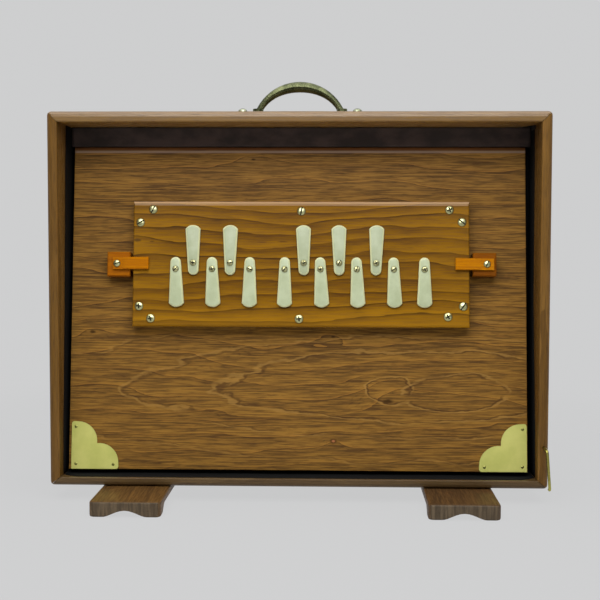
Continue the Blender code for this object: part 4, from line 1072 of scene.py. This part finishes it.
def turned_brass(name, pale, dark, rough):
    """Bright turned brass, with painted shade round the head's edge, where its faces turn away from the panel's front.
    """
    finish, tree, shader = new_finish(name)
    place = object_place(tree)
    cloud = noise_node(tree, place, (500.0,) * 3, 3, 0.6)
    colour = mix_node(tree, steps_node(tree, cloud, 0.3, 0.7), dark, pale)
    facing = tree.nodes.new("ShaderNodeTexCoord").outputs["Normal"]
    out_of_panel = vector_node(tree, "DOT_PRODUCT", facing, (0.0, -math.cos(TILT), math.sin(TILT)))
    painted_edge_shade = math_node(tree, "SUBTRACT", 1.0, steps_node(tree, out_of_panel, 0.35, 0.85))
    grime_and_shade = tuple(value * 0.3 for value in dark)
    colour = mix_node(tree, math_node(tree, "MULTIPLY", painted_edge_shade, 0.85), colour, grime_and_shade)
    tree.links.new(colour, shader.inputs["Base Color"])
    tree.links.new(math_node(tree, "MULTIPLY_ADD", cloud, 0.15, rough), shader.inputs["Roughness"])
    shader.inputs["Metallic"].default_value = 1.0
    add_bump(tree, shader, cloud, 0.1, 0.0001)
    return finish


screw_brass = turned_brass("screw_brass", (0.82, 0.82, 0.46), (0.52, 0.52, 0.24), 0.28)
# The slots get a dark matt finish: painted shade in the slots.
slot_painted_shade = mottled_finish("slot_painted_shade", (0.045, 0.043, 0.022), (0.02, 0.019, 0.01), 700, 0.6, 0.0, 0.2, 0.2)


def add_screw_head(name, place, radius, height, kind, angle, finish):
    """A screw head standing on the panel's side of the instrument, its slot turned by this angle."""
    mesh = HEADS[kind].copy()
    mesh.name = name
    in_slot = [face.center.z > -0.05 and face.center.length < 0.95 for face in mesh.polygons]
    size = Matrix.Diagonal((radius * MM, radius * MM, height * MM, 1))
    mesh.transform(Matrix.Translation(place) @ OUT_OF_PANEL @ Matrix.Rotation(math.radians(angle), 4, "Z") @ size)
    mesh.materials.clear()
    mesh.materials.append(finish)
    mesh.materials.append(slot_painted_shade)
    for face, slot_shaded in zip(mesh.polygons, in_slot):
        face.material_index = 1 if slot_shaded else 0
    piece = bpy.data.objects.new(name, mesh)
    bpy.context.scene.collection.objects.link(piece)
    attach(piece, "panel")
    return piece


BOARD_SCREWS = (
    (-119.7, 51.8, "slot", 62),
    (-130.1, 62.6, "slot", 30),
    (1.8, 53.1, "slot", 78),
    (122.5, 51.9, "cross", 20),
    (132.6, 61.9, "slot", -40),
    (-130.4, 131.3, "cross", 0),
    (-120.8, 141.3, "cross", 8),
    (0.3, 141.3, "cross", 5),
    (133.4, 130.7, "slot", 55),
    (121.1, 139.2, "cross", 30),
)
for i, (u, v, kind, angle) in enumerate(BOARD_SCREWS):
    add_screw_head(f"board_screw_{i + 1}", on_panel(u, v, 13.0), 3.55, 1.7, kind, angle, screw_brass)


# Keys: thirteen moulded ivory-coloured plastic tongues, each turning on its screw over an air hole. Their bevelled
# edges are painted paler and creamier than the faces, a painted highlight, and the faces have a greenish cast.
def key_plastic(name, painted_light_gain):
    finish, tree, shader = new_finish(name)
    place = object_place(tree)
    cloud = noise_node(tree, place, (80.0,) * 3, 4, 0.6)
    speck = noise_node(tree, place, (700.0,) * 3, 3, 0.6)
    worn = (0.42 * painted_light_gain, 0.47 * painted_light_gain, 0.285 * painted_light_gain)
    clean = (0.5 * painted_light_gain, 0.555 * painted_light_gain, 0.36 * painted_light_gain)
    face = mix_node(tree, steps_node(tree, cloud, 0.3, 0.7), worn, clean)
    # Painted highlight: the bevels, which turn away from the key's face, are mixed towards pale cream.
    facing = tree.nodes.new("ShaderNodeTexCoord").outputs["Normal"]
    towards = vector_node(tree, "DOT_PRODUCT", facing, (0.0, -math.cos(TILT), math.sin(TILT)))
    edge = math_node(tree, "SUBTRACT", 1.0, steps_node(tree, towards, 0.85, 0.985))
    colour = mix_node(tree, math_node(tree, "MULTIPLY", edge, 0.85), face, (0.7, 0.72, 0.4))
    grime_and_shade = math_node(tree, "MULTIPLY", steps_node(tree, speck, 0.62, 0.74), 0.35)
    tree.links.new(mix_node(tree, grime_and_shade, colour, (0.36, 0.36, 0.2)), shader.inputs["Base Color"])
    tree.links.new(math_node(tree, "MULTIPLY_ADD", speck, 0.12, 0.3), shader.inputs["Roughness"])
    shader.inputs["Specular IOR Level"].default_value = 0.4
    shader.inputs["Subsurface Weight"].default_value = 0.06
    shader.inputs["Subsurface Radius"].default_value = (1.0, 0.8, 0.5)
    shader.inputs["Subsurface Scale"].default_value = 0.001
    add_bump(tree, shader, cloud, 0.15, 0.0004)
    return finish


def arc_points(centre, radius, first, last, steps):
    angles = [math.radians(first + (last - first) * i / steps) for i in range(steps + 1)]
    return [(centre[0] + radius * math.cos(a), centre[1] + radius * math.sin(a)) for a in angles]


KEY_LENGTH = 40.8
KEY_WIDE = 12.2
KEY_NARROW = 8.5
KEY_END_RADIUS = 7.4
KEY_PIVOT_FROM_TIP = 9.8
KEY_HEIGHTS = (13.3, 16.3)


def add_key(cad_name, place, angle, finish):
    """A key whose upper edge is bevelled wide and rounded off, turned by this angle about its screw."""
    end = KEY_PIVOT_FROM_TIP - KEY_LENGTH
    spread = math.degrees(math.asin(KEY_WIDE / 2 / KEY_END_RADIUS))
    outline = arc_points((0, KEY_PIVOT_FROM_TIP - KEY_NARROW / 2), KEY_NARROW / 2, 0, 180, 20)
    outline += arc_points((0, end + KEY_END_RADIUS), KEY_END_RADIUS, 270 - spread, 270 + spread, 20)
    mesh = bpy.data.meshes.new(cad_name + "_tongue")
    bm = bmesh.new()
    face = bm.faces.new([bm.verts.new((x, y, 0)) for x, y in outline])
    face.normal_update()
    bottom = bmesh.ops.duplicate(bm, geom=[face])["geom"]
    bmesh.ops.reverse_faces(bm, faces=[part for part in bottom if isinstance(part, bmesh.types.BMFace)])
    rim = bmesh.ops.extrude_face_region(bm, geom=[face])["geom"]
    bmesh.ops.translate(bm, vec=(0, 0, 1.95), verts=[part for part in rim if isinstance(part, bmesh.types.BMVert)])
    bmesh.ops.delete(bm, geom=[face], context="FACES")
    top = [part for part in rim if isinstance(part, bmesh.types.BMFace)]
    for width, rise in ((0.22, 0.32), (0.85, 0.6), (0.3, 0.1)):
        bmesh.ops.inset_region(bm, faces=top, thickness=width, use_even_offset=True, use_boundary=True)
        bmesh.ops.translate(bm, vec=(0, 0, rise), verts=list(top[0].verts))
    bmesh.ops.remove_doubles(bm, verts=bm.verts, dist=0.001)
    bmesh.ops.recalc_face_normals(bm, faces=bm.faces)
    bm.to_mesh(mesh)
    bm.free()
    mesh.shade_smooth()
    mesh.set_sharp_from_angle(angle=math.radians(24))
    mesh.transform(Matrix.Translation(place) @ OUT_OF_PANEL @ Matrix.Rotation(math.radians(angle), 4, "Z")
                   @ Matrix.Diagonal((MM, MM, MM, 1)))
    mesh.materials.append(finish)
    piece = bpy.data.objects.new(cad_name + "_tongue", mesh)
    bpy.context.scene.collection.objects.link(piece)
    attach(piece, cad_name + "_turner")
    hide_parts(cad_name)


# Painted light: the upper row gets a darker copy of the plastic and the lower row a paler one, evening out how the
# lamps light the two rows.
KEY_FINISHES = {"lower": key_plastic("lower_key_plastic_painted_lighter", 1.07), "upper": key_plastic("upper_key_plastic_painted_darker", 0.9)}
KEYS = {
    "lower": (
        (-100.4, 1.7, "slot", 45), (-70.7, 1.8, "cross", 12), (-40.0, -0.2, "slot", -25), (-11.5, 0.0, "slot", 50),
        (17.6, 2.4, "cross", 10), (47.1, 2.0, "slot", 70), (77.1, 1.6, "slot", 35), (102.0, 0.2, "cross", 25),
    ),
    "upper": (
        (-86.2, 1.0, "cross", 3), (-56.1, -0.1, "slot", 5), (4.0, 0.7, "cross", 15), (32.8, 0.6, "slot", 60),
        (62.8, -1.0, "cross", 30),
    ),
}
key_screw_brass = turned_brass("key_screw_brass", (0.72, 0.7, 0.38), (0.38, 0.37, 0.17), 0.32)
for row, keys in KEYS.items():
    v, upside_down = (101.0, 0) if row == "lower" else (95.9, 180)
    for i, (u, hang, kind, angle) in enumerate(keys):
        add_key(f"{row}_key_{i + 1}", on_panel(u, v, KEY_HEIGHTS[0]), upside_down + hang, KEY_FINISHES[row])
        name = f"{row}_key_screw_head_{i + 1}"
        head = add_screw_head(name, on_panel(u, v, 16.6), 2.55, 1.3, kind, angle, key_screw_brass)
        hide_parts(f"{row}_key_screw_{i + 1}")


# Latches: a small block on the panel at each end of the key board, and the arm that turns on it over
# the board's end. They are of an orange hardwood, varnished.
LATCH_FIGURE = dict(
    gloss=0.06, Rough=0.34, Rings=160.0, Wander=1.0, Lines=0.25, Fibres=0.4, Pores=0.15, Flecks=0.1,
    Line=(0.12, 0.03, 0.004), Fleck=(0.5, 0.2, 0.01),
)
left_block_wood = wood_finish("latch_wood_left", Pale=(0.44, 0.138, 0.003), Dark=(0.27, 0.076, 0.002), **LATCH_FIGURE)
give(left_block_wood, "latch_block_left")
right_block_wood = wood_finish("latch_wood_right", Pale=(0.28, 0.085, 0.003), Dark=(0.17, 0.047, 0.002), **LATCH_FIGURE)
give(right_block_wood, "latch_block_right")
left_arm_wood = wood_finish("arm_wood_left", Pale=(0.5, 0.172, 0.001), Dark=(0.35, 0.106, 0.001), **LATCH_FIGURE)
give(left_arm_wood, "latch_arm_left")
right_arm_wood = wood_finish("arm_wood_right", Pale=(0.56, 0.21, 0.001), Dark=(0.4, 0.13, 0.001), **LATCH_FIGURE)
give(right_arm_wood, "latch_arm_right")
for word, u, v, angle in (("left", -148.6, 96.6, 20), ("right", 152.5, 96.4, 65)):
    head = add_screw_head(f"latch_screw_head_{word}", on_panel(u, v, 15.9), 2.9, 1.5, "slot", angle, screw_brass)
    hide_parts(f"latch_screw_{word}")


# Corner guards: thin stamped plates of dull yellow brass on the panel's lower corners, each held by three small pins.
def guard_finish():
    finish, tree, shader = new_finish("guard_brass")
    place = object_place(tree)
    cloud = noise_node(tree, place, (55.0,) * 3, 4, 0.6)
    speck = noise_node(tree, place, (900.0,) * 3, 3, 0.6)
    face = mix_node(tree, steps_node(tree, cloud, 0.3, 0.7), (0.54, 0.55, 0.135), (0.64, 0.63, 0.18))
    tree.links.new(face, shader.inputs["Base Color"])
    tree.links.new(math_node(tree, "MULTIPLY_ADD", speck, 0.15, 0.45), shader.inputs["Roughness"])
    shader.inputs["Metallic"].default_value = 0.25
    add_bump(tree, shader, speck, 0.12, 0.0001)
    return finish


give(guard_finish(), "corner_guard_left", "corner_guard_right")
PIN_PLACES = ((3.5, 34.5), (3.8, 4.2), (34.5, 3.8))
pin_brass = turned_brass("pin_brass", (0.4, 0.4, 0.12), (0.2, 0.2, 0.05), 0.3)


def add_pin(name, place):
    """A small domed pin head with a sunk ring round it."""
    mesh = bpy.data.meshes.new(name)
    bm = bmesh.new()
    heights = ((0.0, 0.42), (0.45, 0.36), (0.8, 0.18), (0.95, 0.02), (1.25, 0.06), (1.3, -0.1))
    line = [bm.verts.new((radius, 0, height)) for radius, height in heights]
    edges = [bm.edges.new(pair) for pair in zip(line, line[1:])]
    bmesh.ops.spin(bm, geom=line + edges, axis=(0, 0, 1), cent=(0, 0, 0), angle=math.tau, steps=20, use_merge=True)
    bmesh.ops.remove_doubles(bm, verts=bm.verts, dist=0.001)
    bmesh.ops.recalc_face_normals(bm, faces=bm.faces)
    bm.to_mesh(mesh)
    bm.free()
    mesh.transform(Matrix.Translation(place) @ OUT_OF_PANEL @ Matrix.Diagonal((MM, MM, MM, 1)))
    mesh.materials.append(pin_brass)
    mesh.shade_smooth()
    piece = bpy.data.objects.new(name, mesh)
    bpy.context.scene.collection.objects.link(piece)
    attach(piece, "panel")


for word, side, corner_u in (("left", 1, -186.1), ("right", -1, 185.7)):
    for i, (across, up) in enumerate(PIN_PLACES):
        add_pin(f"guard_pin_{word}_{i + 1}", on_panel(corner_u + side * across, 264.3 - up, 1.1))


# Pump: the board at the back, of the same teak as the panel, with its own folded cloth, a hinge strip
# along the bottom and two leather flap valves, one on it and one on the partition.
PUMP_FIGURE = {**PANEL_FIGURE, "Flecks": 0.3}
give(wood_finish("pump_board_wood", shift=(0.4, 0.2, 0.37), **PUMP_FIGURE), "pump_board")

pump_folds, _ = folded_cloth(
    "pump_folds", 8, 189.6, 0.0, 23.9, 301.4, lambda z: (PARTITION_BACK + 0.4, 36.6)
)
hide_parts("pump_bellows")
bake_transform(pump_folds)

rows = []
for i in range(61):
    x = -189.8 + 379.6 * i / 60
    row = []
    for j in range(17):
        way = j / 16
        if way < 0.72:
            row.append(Vector((x, 47.3 + 0.25, 33.7 + (19.9 - 33.7) * way / 0.72)) * MM)
        else:
            bend = (way - 0.72) / 0.28
            row.append(Vector((x, 47.55 + 1.3 * bend, 19.9 - 0.42 * math.sin(math.pi / 2 * bend))) * MM)
    rows.append(row)
pump_strip, _ = sheet_piece("pump_hinge_cloth", rows, 0.4 * MM, bellows_cloth)
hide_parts("pump_hinge_strip")
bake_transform(pump_strip)


def leather_finish():
    finish, tree, shader = new_finish("flap_leather")
    place = object_place(tree)
    cells = tree.nodes.new("ShaderNodeTexVoronoi")
    cells.feature = "DISTANCE_TO_EDGE"
    cells.inputs["Scale"].default_value = 1100.0
    tree.links.new(place, cells.inputs["Vector"])
    grain = steps_node(tree, cells.outputs["Distance"], 0.0, 0.25)
    cloud = noise_node(tree, place, (45.0,) * 3, 4, 0.6)
    colour = mix_node(tree, steps_node(tree, cloud, 0.3, 0.7), (0.24, 0.12, 0.045), (0.4, 0.22, 0.09))
    creased = math_node(tree, "MULTIPLY", math_node(tree, "SUBTRACT", 1.0, grain), 0.4)
    tree.links.new(mix_node(tree, creased, colour, (0.15, 0.075, 0.035)), shader.inputs["Base Color"])
    tree.links.new(math_node(tree, "MULTIPLY_ADD", cloud, 0.2, 0.6), shader.inputs["Roughness"])
    shader.inputs["Specular IOR Level"].default_value = 0.25
    add_bump(tree, shader, grain, 0.4, 0.0002)
    return finish


flap_leather = leather_finish()
batten_wood = wood_finish(
    "batten_wood", gloss=0.2, Rings=90.0, Wander=1.0, Pale=(0.5, 0.34, 0.19), Dark=(0.33, 0.2, 0.1),
    Line=(0.24, 0.13, 0.06), Lines=0.4, Fibres=0.4, Pores=0.15, Flecks=0.0,
)


def add_flap(cad_name, name, near_y, middle_z, body):
    """A leather flap that lies over three holes and lifts a little at its free lower edge, and the
    wooden batten that clamps its top edge."""
    rows = []
    for i in range(41):
        x = -66 + 132 * i / 40
        row = []
        for j in range(15):
            z = middle_z + 17 - 34 * j / 14
            corner = min(66 - abs(x), 4) + min(z - (middle_z - 17), 4)
            drop = max(0.0, 4 - corner) * 0.5
            lift = 0.22 * (j / 14) ** 2 + 0.12 * noise.noise(Vector((x * 0.05, z * 0.08, near_y)))
            row.append(Vector((x * (1 - 0.01 * drop), near_y + 0.62 + max(lift, 0.0) * 0.6, z)) * MM)
        rows.append(row)
    flap, _ = sheet_piece(name, rows, 1.1 * MM, flap_leather)
    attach(flap, body)
    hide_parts(cad_name)
    mesh = bpy.data.meshes.new(name + "_batten")
    bm = bmesh.new()
    size = Matrix.Diagonal((126 * MM, 0.5 * MM, 6 * MM, 1))
    place = Vector((0, near_y + 1.45, middle_z + 16.0)) * MM
    bmesh.ops.create_cube(bm, size=1, matrix=Matrix.Translation(place) @ size)
    bmesh.ops.bevel(bm, geom=bm.edges[:], offset=0.18 * MM, segments=2, affect="EDGES", profile=0.5)
    bm.to_mesh(mesh)
    bm.free()
    mesh.materials.append(batten_wood)
    batten = bpy.data.objects.new(name + "_batten", mesh)
    bpy.context.scene.collection.objects.link(batten)
    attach(batten, body)


add_flap("partition_valve_flap", "partition_flap_leather", PARTITION_BACK + 0.3, 54.3, "case")
add_flap("pump_exhaust_flap", "pump_flap_leather", 47.3, 132.3, "pump")
